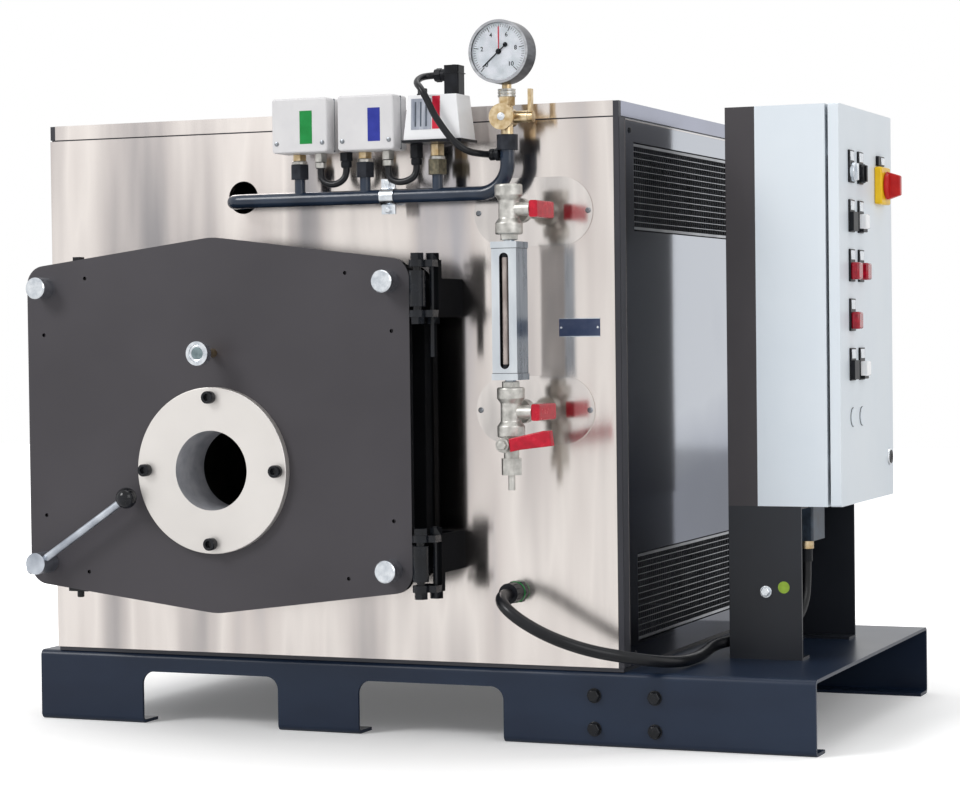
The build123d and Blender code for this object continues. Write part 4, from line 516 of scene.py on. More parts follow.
def dress(finish: AnyFinish, bevel_mm: float, *nodes: str) -> None:
    """Give carried-over solids their finish and softened edges.

    Args:
        finish: What they are made of.
        bevel_mm: The width of the softened edges, or 0 to leave them.
        nodes: The solids' names.
    """
    for node in nodes:
        solid = NODES[node]
        solid.data.materials.clear()
        solid.data.materials.append(material_of(finish))
        soften(solid, bevel_mm)
        LOG.info("dressed %s in %s", node, finish.name)


def face_finish(node: str, finish: AnyFinish, chosen: Chooser) -> None:
    """Give some faces of a solid another finish.

    Args:
        node: The solid's name.
        finish: What those faces are made of.
        chosen: Tells for a face's middle, in drawing millimetres, and its normal whether it changes.
    """
    mesh = NODES[node].data
    mesh.materials.append(material_of(finish))
    index = len(mesh.materials) - 1
    for polygon in mesh.polygons:
        if chosen(polygon.center / MM - SHIFT_MM, polygon.normal):
            polygon.material_index = index


def near(x: float, z: float, radius: float) -> Chooser:
    """A test for faces whose middle is within a radius of a line along Y."""
    return lambda middle, _normal: math.hypot(middle.x - x, middle.z - z) < radius


@dataclass
class Maker:
    """Builds one mesh piece from turned, boxed and extruded forms, all in drawing millimetres."""

    name: str
    finish: AnyFinish
    body: Body = Body.BOILER
    mesh: bmesh.types.BMesh = field(default_factory=bmesh.new)

    def turned(self, at: Point, axis: Axis, profile: Profile, sides: int = 32) -> "Maker":
        """Turn a profile about an axis, closed at both ends.

        Args:
            at: Where the axis starts.
            axis: The axis direction.
            profile: Pairs of radius and distance along the axis.
            sides: The number of sides.

        Returns:
            This maker.
        """
        start = place(*at)
        turn = Vector((0, 0, 1)).rotation_difference(Vector(axis.value)).to_matrix()
        closed = [(0.0, profile[0][1])] * (profile[0][0] > 0) + [*profile]
        closed += [(0.0, profile[-1][1])] * (profile[-1][0] > 0)
        rings: list[list[bmesh.types.BMVert]] = []
        for radius, along in closed:
            angles = [2 * math.pi * i / sides for i in range(sides)] if radius > 0 else [0.0]
            spots = [Vector((radius * math.cos(a), radius * math.sin(a), along)) * MM for a in angles]
            rings.append([self.mesh.verts.new(start + turn @ spot) for spot in spots])
        for first, second in zip(rings, rings[1:]):
            for i in range(sides):
                j = (i + 1) % sides
                corners = [first[i % len(first)], first[j % len(first)], second[j % len(second)],
                           second[i % len(second)]]
                unique = list(dict.fromkeys(corners))
                if len(unique) > 2:
                    self.mesh.faces.new(unique)
        return self

    def boxed(self, low: Point, high: Point) -> "Maker":
        """Add a block between two corners."""
        made = bmesh.ops.create_cube(self.mesh, size=1.0)
        first, last = place(*low), place(*high)
        bmesh.ops.scale(self.mesh, vec=last - first, verts=made["verts"])
        bmesh.ops.translate(self.mesh, vec=(last + first) / 2, verts=made["verts"])
        return self

    def joined(self, seat: Sequence[Vector], face: Sequence[Vector]) -> "Maker":
        """Close a block between two rings of four corners.

        Args:
            seat: The first ring, anticlockwise from outside, in metres.
            face: The last ring, in the same order.

        Returns:
            This maker.
        """
        low = [self.mesh.verts.new(c) for c in seat]
        high = [self.mesh.verts.new(c) for c in face]
        self.mesh.faces.new(low[::-1])
        self.mesh.faces.new(high)
        for i in range(4):
            j = (i + 1) % 4
            self.mesh.faces.new((low[i], low[j], high[j], high[i]))
        return self

    def panel(self, corners: Sequence[Point], thick: float) -> "Maker":
        """Add a thin plate on a slanted face, given by its corners, anticlockwise from outside."""
        seat = [place(*corner) for corner in corners]
        out = (seat[1] - seat[0]).cross(seat[3] - seat[0]).normalized() * thick * MM
        return self.joined(seat, [corner + out for corner in seat])

    def wedge(self, foot: Point, wide: Pair, tip: Point, narrow: Pair) -> "Maker":
        """Add a block that points along X and tapers from one rectangle to another.

        Args:
            foot: The middle of its first rectangle.
            wide: That rectangle's sizes along Y and Z.
            tip: The middle of its last rectangle.
            narrow: That rectangle's sizes along Y and Z.

        Returns:
            This maker.
        """
        signs = ((-1, -1), (1, -1), (1, 1), (-1, 1))
        rings = [[place(x, y + a * deep / 2, z + b * high / 2) for a, b in signs]
                 for (x, y, z), (deep, high) in ((foot, wide), (tip, narrow))]
        return self.joined(*rings)

    def hexed(self, at: Point, axis: Axis, across: float, height: float) -> "Maker":
        """Add a hexagon head with a chamfered top.

        Args:
            at: The middle of its seat.
            axis: The way that it stands.
            across: Its width across the flats.
            height: Its height.

        Returns:
            This maker.
        """
        corner = across / math.sqrt(3)
        return self.turned(at, axis, ((corner, 0), (corner, height * 0.8), (corner * 0.86, height)), 6)

    def done(self, bevel_mm: float = 0.0, replaces: Sequence[str] = ()) -> None:
        """Close the mesh and place the piece on its body.

        Args:
            bevel_mm: The width of softened edges, or 0.
            replaces: Solids that this piece stands for.
        """
        bmesh.ops.recalc_face_normals(self.mesh, faces=self.mesh.faces)
        mesh = bpy.data.meshes.new(self.name)
        self.mesh.to_mesh(mesh)
        self.mesh.free()
        mesh.materials.append(material_of(self.finish))
        mesh.shade_smooth()
        mesh.set_sharp_from_angle(angle=math.radians(SMOOTH_DEG))
        piece = bpy.data.objects.new(self.name, mesh)
        bpy.context.scene.collection.objects.link(piece)
        soften(piece, bevel_mm)
        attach(piece, self.body.value)
        for node in replaces:
            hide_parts(node)
        LOG.info("made %s", self.name)


# The camera


@dataclass
class Camera:
    """The photograph's camera, fitted to the corners of the skid, casing and cabinet."""

    spot_mm: Point = (1608.0, -3952.0, 607.0)
    yaw_deg: float = 22.354
    pitch_deg: float = 1.405
    roll_deg: float = 0.692
    lens_mm: float = 98.54
    sensor_mm: float = 36.0

    def make(self) -> None:
        """Make the camera and look through it."""
        data = bpy.data.cameras.new("camera")
        data.lens = self.lens_mm
        data.sensor_width = self.sensor_mm
        camera = bpy.data.objects.new("camera", data)
        bpy.context.scene.collection.objects.link(camera)
        turn = (Matrix.Rotation(math.radians(self.yaw_deg), 3, "Z")
                @ Matrix.Rotation(math.radians(90 - self.pitch_deg), 3, "X")
                @ Matrix.Rotation(math.radians(-self.roll_deg), 3, "Z"))
        camera.matrix_world = Matrix.Translation(place(*self.spot_mm)) @ turn.to_4x4()
        bpy.context.scene.camera = camera


# Cords


@dataclass
class Cord:
    """One hose or lead on a smooth line through its route's control points."""

    name: str
    route: Sequence[Point]
    radius_mm: float
    length_mm: float
    lay: str = "hanging"

    def make(self) -> None:
        curve = bpy.data.curves.new(self.name + "_cord", "CURVE")
        curve.dimensions = "3D"
        curve.bevel_depth = self.radius_mm * MM
        curve.bevel_resolution = 6
        curve.resolution_u = 12
        curve.use_fill_caps = True
        spline = curve.splines.new("NURBS")
        spline.points.add(len(self.route) - 1)
        for point, spot in zip(spline.points, self.route):
            point.co = (*place(*spot), 1.0)
        spline.order_u = 3
        spline.use_endpoint_u = True
        curve.materials.append(material_of(RUBBER))
        piece = bpy.data.objects.new(self.name + "_cord", curve)
        bpy.context.scene.collection.objects.link(piece)
        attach(piece, Body.BOILER.value)
        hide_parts(self.name)
        LOG.info("made %s", piece.name)


@dataclass
class Cords:
    """The hose to the cabinet and the three short leads of the switches."""

    hose: Sequence[Point] = (
        (183, -388, 224), (183, -418, 224), (199, -448, 212), (232, -454, 190), (275, -448, 168),
        (322, -428, 150), (366, -394, 138), (398, -350, 128), (414, -298, 122), (418, -244, 120),
        (418, -190, 121), (421, -144, 130), (447, -118, 136), (480, -102, 138), (502, -64, 143),
        (514, -14, 156), (519, 12, 182), (520, 20, 214), (520, 20, 245))
    left_lead: Sequence[Point] = (
        (-102, -407, 854), (-102, -407, 843), (-95, -409, 833), (-80, -410, 829), (-66, -410, 834),
        (-60, -407, 844), (-60, -407, 854))
    right_lead: Sequence[Point] = (
        (8, -407, 854), (8, -407, 843), (15, -409, 833), (30, -410, 829), (48, -410, 834),
        (54, -407, 844), (54, -407, 854))
    limiter_lead: Sequence[Point] = (
        (86, -407, 984), (76, -407, 984), (67, -419, 981), (67, -436, 972), (80, -449, 963),
        (92, -451, 943), (102, -452.5, 923.5), (114, -452, 906), (126, -450, 889), (139.55, -446, 875.5),
        (151.05, -437, 868), (159.05, -417, 866.5), (166.05, -395, 866), (182.05, -395, 866))

    def build(self) -> None:
        """Make all four."""
        Cord("front_hose", self.hose, 9.0, 794.0, lay="loose").make()
        Cord("switch_lead_left", self.left_lead, 5.0, 73.9).make()
        Cord("switch_lead_right", self.right_lead, 5.0, 77.7).make()
        Cord("limiter_lead", self.limiter_lead, 5.0, 243.6).make()


# The skid


@dataclass
class Skid:
    """The two folded trays and the four bolts at their joint."""

    splice_x: float = 349.0
    bolt_pitch_x: float = 93.0
    bolt_low: float = 26.0
    bolt_pitch_z: float = 49.0
    half_depth: float = 352.0
    head_across: float = 17.0
    head_height: float = 7.0
    washer: Pair = (11.0, 1.5)

    def build(self) -> None:
        """Dress the trays and put the bolts in, on the front and the back flange."""
        dress(SKID_PAINT, 0.6, "skid_main", "skid_deck")
        dress(SKID_PAINT, 0, "splice_plates")
        bolts = Maker("skid_joint_bolts", HINGE_PAINT)
        radius, thick = self.washer
        for x in (self.splice_x - self.bolt_pitch_x / 2, self.splice_x + self.bolt_pitch_x / 2):
            for z in (self.bolt_low, self.bolt_low + self.bolt_pitch_z):
                for side, axis in ((-1, Axis.FRONT), (1, Axis.Y)):
                    bolts.turned((x, side * self.half_depth, z), axis, ((radius, 0), (radius, thick)))
                    bolts.hexed((x, side * (self.half_depth + thick - 0.1), z), axis, self.head_across,
                                self.head_height)
        bolts.done(0.5)


# The casing


@dataclass
class Casing:
    """The stainless casing with its punched grilles, trim, screws and blank plate."""

    right_x: float = 349.0
    front_y: float = -350.0
    sheet_low: float = 116.0
    sheet_top: float = 917.0
    grille_half: float = 286.0
    grille_lows: Pair = (149.0, 754.0)
    grille_height: float = 130.0
    rows: int = 13
    hole: float = 8.4
    upright: float = 0.8
    rim: float = 4.0
    recess: float = 2.0
    sheet: float = 1.5
    strip: Pair = (-349.2, -326.0)
    hem: Pair = (1.6, 0.9)
    screw_y: float = 303.0
    screw_z: Pair = (132.4, 900.6)
    plate_x: Pair = (253.5, 317.0)
    plate_z: Pair = (599.0, 626.5)
    plate_thick: float = 0.9

    def build(self) -> None:
        """Dress the sheets and make the grilles, trim, screws and plate."""
        dress(FRAME_PAINT, 0, "casing_frame")
        dress(FRONT_STEEL, 0, "front_panel", "left_panel", "rear_panel")
        dress(SIDE_STEEL, 0, "right_panel")
        dress(FRONT_STEEL, 0.8, "roof_cap")
        # Painted light: the roof's side faces and top faces get their own darker and even copies of the sheet's
        # colour.
        face_finish("roof_cap", CAP_SIDE_STEEL, lambda _middle, normal: normal.x > 0.7)
        face_finish("roof_cap", ROOF_STEEL, lambda _middle, normal: normal.z > 0.7)
        for number, low in enumerate(self.grille_lows):
            self.grille(f"side_grille_{number + 1}", low)
        self.corner_trim()
        screws = Maker("casing_screws", BLACK_ABS)
        for y in (-self.screw_y, self.screw_y):
            for z in self.screw_z:
                screws.turned((self.right_x, y, z), Axis.X, ((4.5, 0), (4.5, 1.2), (3, 2.4), (0, 2.6)), 24)
        screws.done()
        self.plate()

    def grille(self, name: str, low: float) -> None:
        """Make one punched grille: crossbars in front, and the shaded uprights a little behind.

        Args:
            name: The piece's name.
            low: The height of its lower edge.
        """
        bars = Maker(name, GRILLE_STEEL)
        uprights = Maker(name + "_uprights", GRILLE_BACK)
        pitch = (self.grille_height - 2 * self.rim) / self.rows
        half_width = self.grille_half - self.rim
        columns = round(2 * half_width / pitch)
        outer = self.right_x - self.recess
        inner = outer + self.sheet
        for row in range(self.rows + 1):
            z = low + self.rim + row * pitch
            half = self.rim / 2 if row in (0, self.rows) else (pitch - self.hole) / 2
            bars.boxed((outer, -self.grille_half, z - half), (inner, self.grille_half, z + half))
        for column in range(columns + 1):
            y = -half_width + column * 2 * half_width / columns
            uprights.boxed((outer - 0.5, y - self.upright / 2, low + 1),
                           (inner - 0.7, y + self.upright / 2, low + self.grille_height - 1))
        bars.done(replaces=("side_grilles",))
        uprights.done(replaces=("side_grilles",))

    def corner_trim(self) -> None:
        """Put the black corner strips on the right side, and the folded hems of its sheet, painted bright as a
        highlight along its edges.
        """
        trim = Maker("side_corner_strips", FRAME_PAINT)
        # Painted highlight: the hems are thin raised strips in the brighter copy of the steel.
        hems = Maker("side_sheet_hems", HIGHLIGHT_STEEL)
        x, (start, end), (wide, raised) = self.right_x, self.strip, self.hem
        low, top = self.sheet_low + 1, self.sheet_top - 1
        for side in (1, -1):
            near_y, far_y = sorted((side * start, side * end))
            trim.boxed((x, near_y, low), (x + 0.5, far_y, self.sheet_top))
            near_y, far_y = sorted((side * end, side * (end + wide)))
            hems.boxed((x, near_y, low), (x + raised, far_y, top))
        hems.boxed((x, end, top - wide), (x + raised, -end, top))
        trim.done()
        hems.done()

    def plate(self) -> None:
        """Put the blank dark plate with its rim and its two rivets on the front."""
        (left, right), (low, high) = self.plate_x, self.plate_z
        y = self.front_y - self.plate_thick
        plate = Maker("blank_data_plate", BARE_PLATE)
        plate.boxed((left, y, low), (right, self.front_y, high)).done(0.3)
        rim = Maker("data_plate_rim", ZINC)
        for z in (low, high - 1.2):
            rim.boxed((left, y - 0.2, z), (right, y + 0.1, z + 1.2))
        rim.done()
        rivets = Maker("data_plate_rivets", ZINC)
        for x in (left + 3.5, right - 3.5):
            rivets.turned((x, y, (low + high) / 2), Axis.FRONT, ((2.0, 0), (1.6, 0.8), (0, 1.2)), 16)
        rivets.done()


# The burner door


@dataclass
class BurnerDoor:
    """The hinged door with its lining, flange, socket screws and sight glass."""

    furnace_x: float = -262.0
    burner_z: float = 405.0
    sight_z: float = 581.0
    face_y: float = -456.0
    plate_back_y: float = -444.0
    flange: float = 12.0
    bolt_radius: float = 110.0
    bolt_count: int = 4
    ball_x: float = -398.7
    ball_z: float = 363.1
    ball: float = 16.0
    bore: float = 60.0
    sight_tube: float = 7.5
    lug_y: Pair = (-408.0, -392.0)

    def build(self) -> None:
        """Dress the door's solids and add its screws, sight and lugs."""
        dress(DOOR_PAINT, 0.8, "door_plate")
        dress(PAINTED_SHADE_BLACK, 0.8, "door_frame")
        dress(LINING, 0, "door_lining")
        dress(TURNED_STEEL, 0.4, "burner_flange")
        dress(ZINC, 0.8, "closing_nuts")
        dress(LEVER_STEEL, 0, "clamp_lever")
        dress(HINGE_PAINT, 0.8, "hinge_brackets", "door_knuckles")
        dress(ZINC, 0.6, "sight_glass")
        # Painted shade: faces behind the plate, the lining's sides and the plate's back and right side get the
        # near-black shade.
        face_finish("hinge_brackets", PAINTED_SHADE_BLACK, lambda middle, _normal: middle.y > self.plate_back_y)
        face_finish("door_lining", PAINTED_SHADE_BLACK, lambda _middle, normal: abs(normal.y) < 0.5)
        face_finish("door_plate", PAINTED_SHADE_BLACK, lambda _middle, normal: normal.x > 0.7 or normal.y > 0.7)
        face_finish("clamp_lever", PHENOLIC, near(self.ball_x, self.ball_z, self.ball + 1))
        # Painted light: the throat's walls in flange, lining and plate get the pale steel.
        throat = near(self.furnace_x, self.burner_z, self.bore + 1)
        for node in ("burner_flange", "door_lining", "door_plate"):
            face_finish(node, THROAT_STEEL,
                        lambda middle, normal: throat(middle, normal) and abs(normal.y) < 0.5)
        face_finish("sight_glass", BRASS, near(self.furnace_x, self.sight_z, self.sight_tube))
        self.socket_screws()
        self.sight()
        self.lugs()

    def socket_screws(self) -> None:
        """Put the black socket screws in the flange's holes."""
        screws = Maker("flange_socket_screws", HINGE_PAINT, Body.DOOR)
        for number in range(self.bolt_count):
            angle = 2 * math.pi * number / self.bolt_count
            spot = (self.furnace_x + self.bolt_radius * math.cos(angle), self.face_y - self.flange + 10,
                    self.burner_z + self.bolt_radius * math.sin(angle))
            screws.turned(spot, Axis.FRONT, ((5.2, 0), (5.2, 10), (9.5, 10), (9.5, 21), (8.6, 22.4), (5.2, 22.4),
                                             (5.0, 16.5)), 28)
        screws.done(0.3)

    def sight(self) -> None:
        """Put the union nut, the bezel and the tinted lens on the sight."""
        seat = (self.furnace_x, self.face_y, self.sight_z)
        for name, finish, bevel, sides, profile in (
                ("sight_union", BRASS, 0.3, 36, ((6.4, 30), (9.4, 36), (9.4, 38.9), (6.4, 38.9))),
                ("sight_bezel", ZINC, 0.2, 40, ((12.9, 48.8), (12.9, 51.2), (11.4, 51.6), (9.6, 50.4))),
                ("sight_lens", SIGHT_TINT, 0, 40, ((9.5, 49), (9.5, 50.6), (6, 51.2), (0, 51.5)))):
            Maker(name, finish, Body.DOOR).turned(seat, Axis.FRONT, profile, sides).done(bevel)

    def lugs(self) -> None:
        """Put the two small black lugs that show past the plate's sloping edges."""
        front, back = self.lug_y
        lugs = Maker("door_lugs", HINGE_PAINT, Body.DOOR)
        lugs.boxed((-548, front, 211), (-514, back, 292))
        lugs.turned((-531, (front + back) / 2, 211), Axis.DOWN, ((5.5, 0), (5.5, 8.6), (4.5, 9.6)), 20)
        lugs.boxed((-532, front, 670), (-520, back, 732))
        lugs.done(1.0)


# The instruments


@dataclass
class Instruments:
    """The manifold with its switches, limiter, cock and dial."""

    branches: Point = (-143.0, -35.0, 82.0)
    nut_tops: Point = (877.0, 877.0, 885.0)
    union_z: Pair = (839.5, 862.5)
    riser_x: float = 193.0
    pipe_y: float = -395.0
    switch_y: float = -407.0
    switch_low: float = 877.0
    switch_front: float = -437.0
    switch_left: float = 25.0
    switch_width: float = 91.0
    label_z: Pair = (889.8, 938.8)
    limiter_base: float = 889.0
    limiter_front: float = -436.0
    limiter_slope: float = 3.5 / 65.0
    lead_z: float = 854.0
    plug_z: float = 984.0
    gland_x: float = 183.0
    gland_z: float = 224.0
    front_y: float = -350.0
    ribs: int = 12
    clamp_x: float = 3.0
    gauge_z: float = 1012.0
    dial_y: float = -424.1
    dial: float = 42.0
    scale_top: int = 10
    scale_deg: Pair = (225.0, 270.0)
    needle_deg: float = 221.0

    def build(self) -> None:
        """Dress the solids and add covers, screws and the dial."""
        dress(PIPE_PAINT, 0.4, "manifold_pipe")
        face_finish("manifold_pipe", UNION_IRON, self.is_fitting)
        face_finish("manifold_pipe", KNURLED_BRASS,
                    lambda middle, _normal: self.in_union(middle) and 60 < middle.x < 105)
        dress(GREY_ABS, 0, "pressure_switches")
        dress(WHITE_ABS, 0, "pressure_limiter")
        face_finish("pressure_limiter", BLACK_ABS, lambda middle, _normal: middle.z < self.limiter_base + 0.2)
        dress(BLACK_ABS, 0.8, "limiter_plug")
        dress(ZINC, 0, "pipe_clamp")
        dress(BRASS, 0.4, "gauge_cock")
        dress(BRASS, 0.6, "cock_lever")
        dress(DIAL_CASE, 0.6, "pressure_gauge")
        # Painted shade: the case's side faces get the dark copy of its steel.
        face_finish("pressure_gauge", DIAL_SHADE_STEEL, lambda _middle, normal: abs(normal.y) < 0.3)
        face_finish("pressure_gauge", BRASS, lambda middle, _normal: middle.z < 965.6 and middle.y > -403)
        dress(BLACK_ABS, 0.4, "cable_glands")
        self.switch_details()
        self.limiter_details()
        self.lead_glands()
        self.hose_gland()
        self.fitting_nuts()
        self.dial_details()

    def in_union(self, middle: Vector) -> bool:
        """Tell whether a face lies at the height of the branches' unions."""
        return self.union_z[0] < middle.z < self.union_z[1]

    def is_fitting(self, middle: Vector, _normal: Vector) -> bool:
        """Tell the black iron unions from the enamelled pipe."""
        return (self.in_union(middle) and middle.x < 130) or (middle.z > 871.5 and middle.x > 170)

    def switch_details(self) -> None:
        """Put the screws, seams and blank coloured labels on the two switch covers."""
        screws = Maker("switch_cover_screws", SCREW_STEEL)
        seams = Maker("switch_cover_seams", HOOD_PAINT)
        for x in self.branches[:2]:
            left = x - self.switch_left
            for spot in (left + 8, left + self.switch_width - 8):
                screws.turned((spot, self.switch_front, self.switch_low + 14), Axis.FRONT,
                              ((3.4, -1), (3.4, 0.8), (1.2, 1.4), (0, 0.6)), 20)
            seams.boxed((left - 0.3, -411, self.switch_low + 1),
                        (left + self.switch_width + 0.3, -409.6, self.switch_low + 80))
        screws.done()
        seams.done(0.2)
        low, high = self.label_z
        for name, finish, left, right in (("blank_green_label", GREEN_FILM, -121.7, -101.5),
                                          ("blank_blue_label", BLUE_FILM, -10.7, 9.1)):
            label = Maker(name, finish)
            label.boxed((left, self.switch_front - 0.3, low), (right, self.switch_front + 0.1, high)).done()

    def limiter_face(self, left: float, right: float, low: float, high: float) -> list[Point]:
        """Four corners on the limiter's sloping front, anticlockwise from the lower left."""
        return [(x, self.limiter_front + (z - self.limiter_base) * self.limiter_slope, z)
                for x, z in ((left, low), (right, low), (right, high), (left, high))]

    def limiter_details(self) -> None:
        """Put the scale window, its bars, the plain red strip and the setting knob on the limiter."""
        for name, finish, thick, faces in (
                ("limiter_window", WINDOW, 0.6, ((58, 90, 903.6, 948.8),)),
                ("limiter_scale_bars", HOOD_PAINT, 0.9, [(x, x + 2.2, 908, 944) for x in (64.0, 72.5, 81.0)]),
                ("limiter_red_strip", RED_FILM, 0.5, ((91.5, 103.5, 904, 952),))):
            plate = Maker(name, finish)
            for face in faces:
                plate.panel(self.limiter_face(*face), thick)
            plate.done()
        knob = Maker("limiter_knob", BLACK_ABS)
        knob.turned((64.8, self.switch_y, 954), Axis.Z, ((8.4, 0), (8.4, 4), (7.2, 4.4), (7.2, 11), (6.2, 12)), 28)
        knob.done(0.2)

    def lead_glands(self) -> None:
        """Put the nuts on the leads' glands and at the limiter's plug."""
        nickel = Maker("lead_gland_nuts_nickel", NICKEL)
        black = Maker("lead_gland_nuts_black", BLACK_ABS)
        for x, nuts, radius, top in ((-102.0, nickel, 8.6, 23), (8.0, nickel, 8.6, 23), (-60.0, black, 9.0, 23),
                                     (54.0, black, 9.0, 31)):
            foot, corner = (x, self.switch_y, self.lead_z), radius * 1.14
            nuts.turned(foot, Axis.Z, ((5.4, 0.2), (7.6, 0.8), (8.2, 3), (8.2, 9)), 28)
            nuts.turned(foot, Axis.Z, ((corner, 10), (corner, top - 0.4), (7.2, top - 0.4)), 6)
        nickel.done(0.3)
        black.done(0.3)
        neck = Maker("limiter_lead_nuts", BLACK_ABS)
        neck.turned((165.5, self.pipe_y, 866), Axis.X,
                    ((7.2, 0), (8.6, 1.2), (8.6, 7), (7.4, 8), (7.4, 9.4), (9.4, 10.4), (9.4, 15.6)), 24)
        neck.turned((87.2, self.switch_y, self.plug_z), Axis.X, ((8.8, 0), (10.4, 1), (10.4, 8.6), (9.2, 9.6)), 8)
        neck.turned((115.5, self.switch_y, self.plug_z + 13), Axis.Z, ((4.6, 0), (4.2, 1.4), (0, 1.6)), 24)
        neck.boxed((103.4, -421.6, self.plug_z + 1), (127.6, -392.4, self.plug_z + 2.4))
        neck.done(0.3)

    def hose_gland(self) -> None:
        """Put the ribbed nut and the green ring on the hose's gland."""
        x, y, z = self.gland_x, self.front_y, self.gland_z
        gland = Maker("hose_gland_nut", BLACK_ABS)
        gland.turned((x, y, z), Axis.FRONT, ((17.4, 0.2), (17.4, 7), (16.2, 8), (15.2, 8)), 6)
        for number in range(self.ribs):
            angle = 2 * math.pi * number / self.ribs
            rib = (x + 14.8 * math.cos(angle), y - 20, z + 14.8 * math.sin(angle))
            gland.turned(rib, Axis.FRONT, ((1.0, 0), (1.0, 15), (0.4, 16)), 10)
        gland.done(0.2)
        ring = Maker("hose_gland_ring", GREEN_FILM)
        ring.turned((x, y - 8.2, z), Axis.FRONT, ((15.1, 0), (16.0, 0.3), (16.0, 1.7), (15.1, 2)), 36)
        ring.done()

    def fitting_nuts(self) -> None:
        """Put the brass necks over the unions, the gauge's nut and the clamp's two bolts."""
        nipples = Maker("switch_nipples", BRASS)
        collars = Maker("switch_nipple_collars", NICKEL)
        for x, top in zip(self.branches, self.nut_tops):
            foot, height = (x, self.pipe_y, 862), top - 862.3
            collars.turned(foot, Axis.Z, ((8.2, 0.2), (11.6, 0.2), (11.6, 4.4), (10.6, 5.2), (8.2, 5.2)), 30)
            nipples.turned(foot, Axis.Z, ((10.8, 5.4), (10.8, height), (8.2, height)), 6)
        nipples.done(0.3)
        collars.done(0.2)
        nut = Maker("gauge_nut", NICKEL)
        nut.turned((self.riser_x, self.pipe_y, 948.6), Axis.Z,
                   ((9.0, 0), (13.2, 0), (13.2, 3), (12.3, 3.5), (12.3, 4.5), (13.2, 5), (13.2, 8), (12.3, 8.4),
                    (12.3, 9.2), (13.2, 9.6), (13.2, 11.4), (7.1, 11.4)), 36)
        nut.done(0.2)
        disc = Maker("gauge_cock_screw", ZINC)
        disc.turned((self.riser_x, -419, 919), Axis.FRONT, ((6.2, 0), (5.6, 1.2), (2.6, 1.6), (2.4, 3), (0, 3.2)), 28)
        disc.done(0.2)
        bolts = Maker("pipe_clamp_bolts", ZINC)
        for z in (830.4, 789.8):
            bolts.turned((self.clamp_x, self.pipe_y - 2, z), Axis.FRONT, ((5.6, 0), (5.6, 0.8)), 24)
            bolts.hexed((self.clamp_x, self.pipe_y - 2.7, z), Axis.FRONT, 8.2, 4.0)
        bolts.done(0.3)

    def on_dial(self, lift: float, reach: float = 0.0, angle: float = 0.0) -> Point:
        """A point a given lift before the dial's seat and a reach from its middle at an angle."""
        return (self.riser_x + reach * math.cos(angle), self.dial_y - lift, self.gauge_z + reach * math.sin(angle))

    def dial_details(self) -> None:
        """Put the white face, ticks, numbers, pointers and glass on the dial."""
        r = self.dial - 0.2
        start, sweep = self.scale_deg
        Maker("dial_face", DIAL_WHITE).turned(self.on_dial(0), Axis.FRONT, ((r, 0), (r, 0.4)), 64).done()
        ticks = Maker("dial_ticks", BLACK_ABS)
        steps = 5 * self.scale_top
        for step in range(steps + 1):
            long, wide = (7.5, 1.1) if step % 10 == 0 else (4.0, 0.5)
            angle = math.radians(start - step * sweep / steps)
            self.stroke(ticks, 0.0, angle, self.dial - 2.6 - long, self.dial - 2.6, wide)
        ticks.done()
        for number in range(0, self.scale_top + 1, 2):
            self.numeral(str(number), math.radians(start - number * sweep / self.scale_top))
        needle = Maker("dial_needle", BLACK_ABS)
        angle = math.radians(self.needle_deg)
        self.stroke(needle, 1.0, angle, -14.0, 33.0, 1.7)
        needle.turned(self.on_dial(0.8), Axis.FRONT, ((4.2, 0), (4.2, 1.2), (0, 1.6)), 28)
        needle.turned(self.on_dial(1.2, -14.0, angle), Axis.FRONT, ((3.6, 0), (3.6, 0.5)), 24)
        needle.done()
        mark = Maker("dial_red_mark", RED_FILM)
        self.stroke(mark, 0.6, math.radians(90), 2.0, 36.0, 1.5)
        mark.done()
        Maker("dial_glass", GLASS).turned(self.on_dial(2.8), Axis.FRONT, ((r, 0), (r, 0.6), (0, 0.9)), 64).done()

    def stroke(self, ink: Maker, lift: float, angle: float, start: float, end: float, wide: float) -> None:
        """Draw one radial stroke on the dial.

        Args:
            ink: The piece that gets the stroke.
            lift: How far before the dial's seat it lies.
            angle: The direction, from the right, anticlockwise.
            start: Where it starts from the middle.
            end: Where it ends.
            wide: How wide it is.
        """
        verts = bmesh.ops.create_cube(ink.mesh, size=1.0)["verts"]
        bmesh.ops.scale(ink.mesh, vec=Vector((end - start, 0.3, wide)) * MM, verts=verts)
        bmesh.ops.translate(ink.mesh, vec=Vector(((end + start) / 2, -0.45, 0)) * MM, verts=verts)
        bmesh.ops.rotate(ink.mesh, matrix=Matrix.Rotation(-angle, 3, "Y"), verts=verts)
        bmesh.ops.translate(ink.mesh, vec=place(*self.on_dial(lift)), verts=verts)

    def numeral(self, text: str, angle: float) -> None:
        """Print one plain number on the dial.

        Args:
            text: The number.
            angle: Where it stands, from the right, anticlockwise.
        """
        curve = bpy.data.curves.new("dial_number_" + text, "FONT")
        curve.body = text
        curve.size = 9.0 * MM
        curve.offset = 0.12 * MM
        curve.align_x, curve.align_y = "CENTER", "CENTER"
        curve.extrude = 0.1 * MM
        curve.materials.append(material_of(BLACK_ABS))
        piece = bpy.data.objects.new("dial_number_" + text, curve)
        bpy.context.scene.collection.objects.link(piece)
        upright = Matrix.Rotation(math.radians(90), 4, "X")
        piece.matrix_world = Matrix.Translation(place(*self.on_dial(0.55, 26.5, angle))) @ upright
        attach(piece, Body.BOILER.value)


# The level gauge


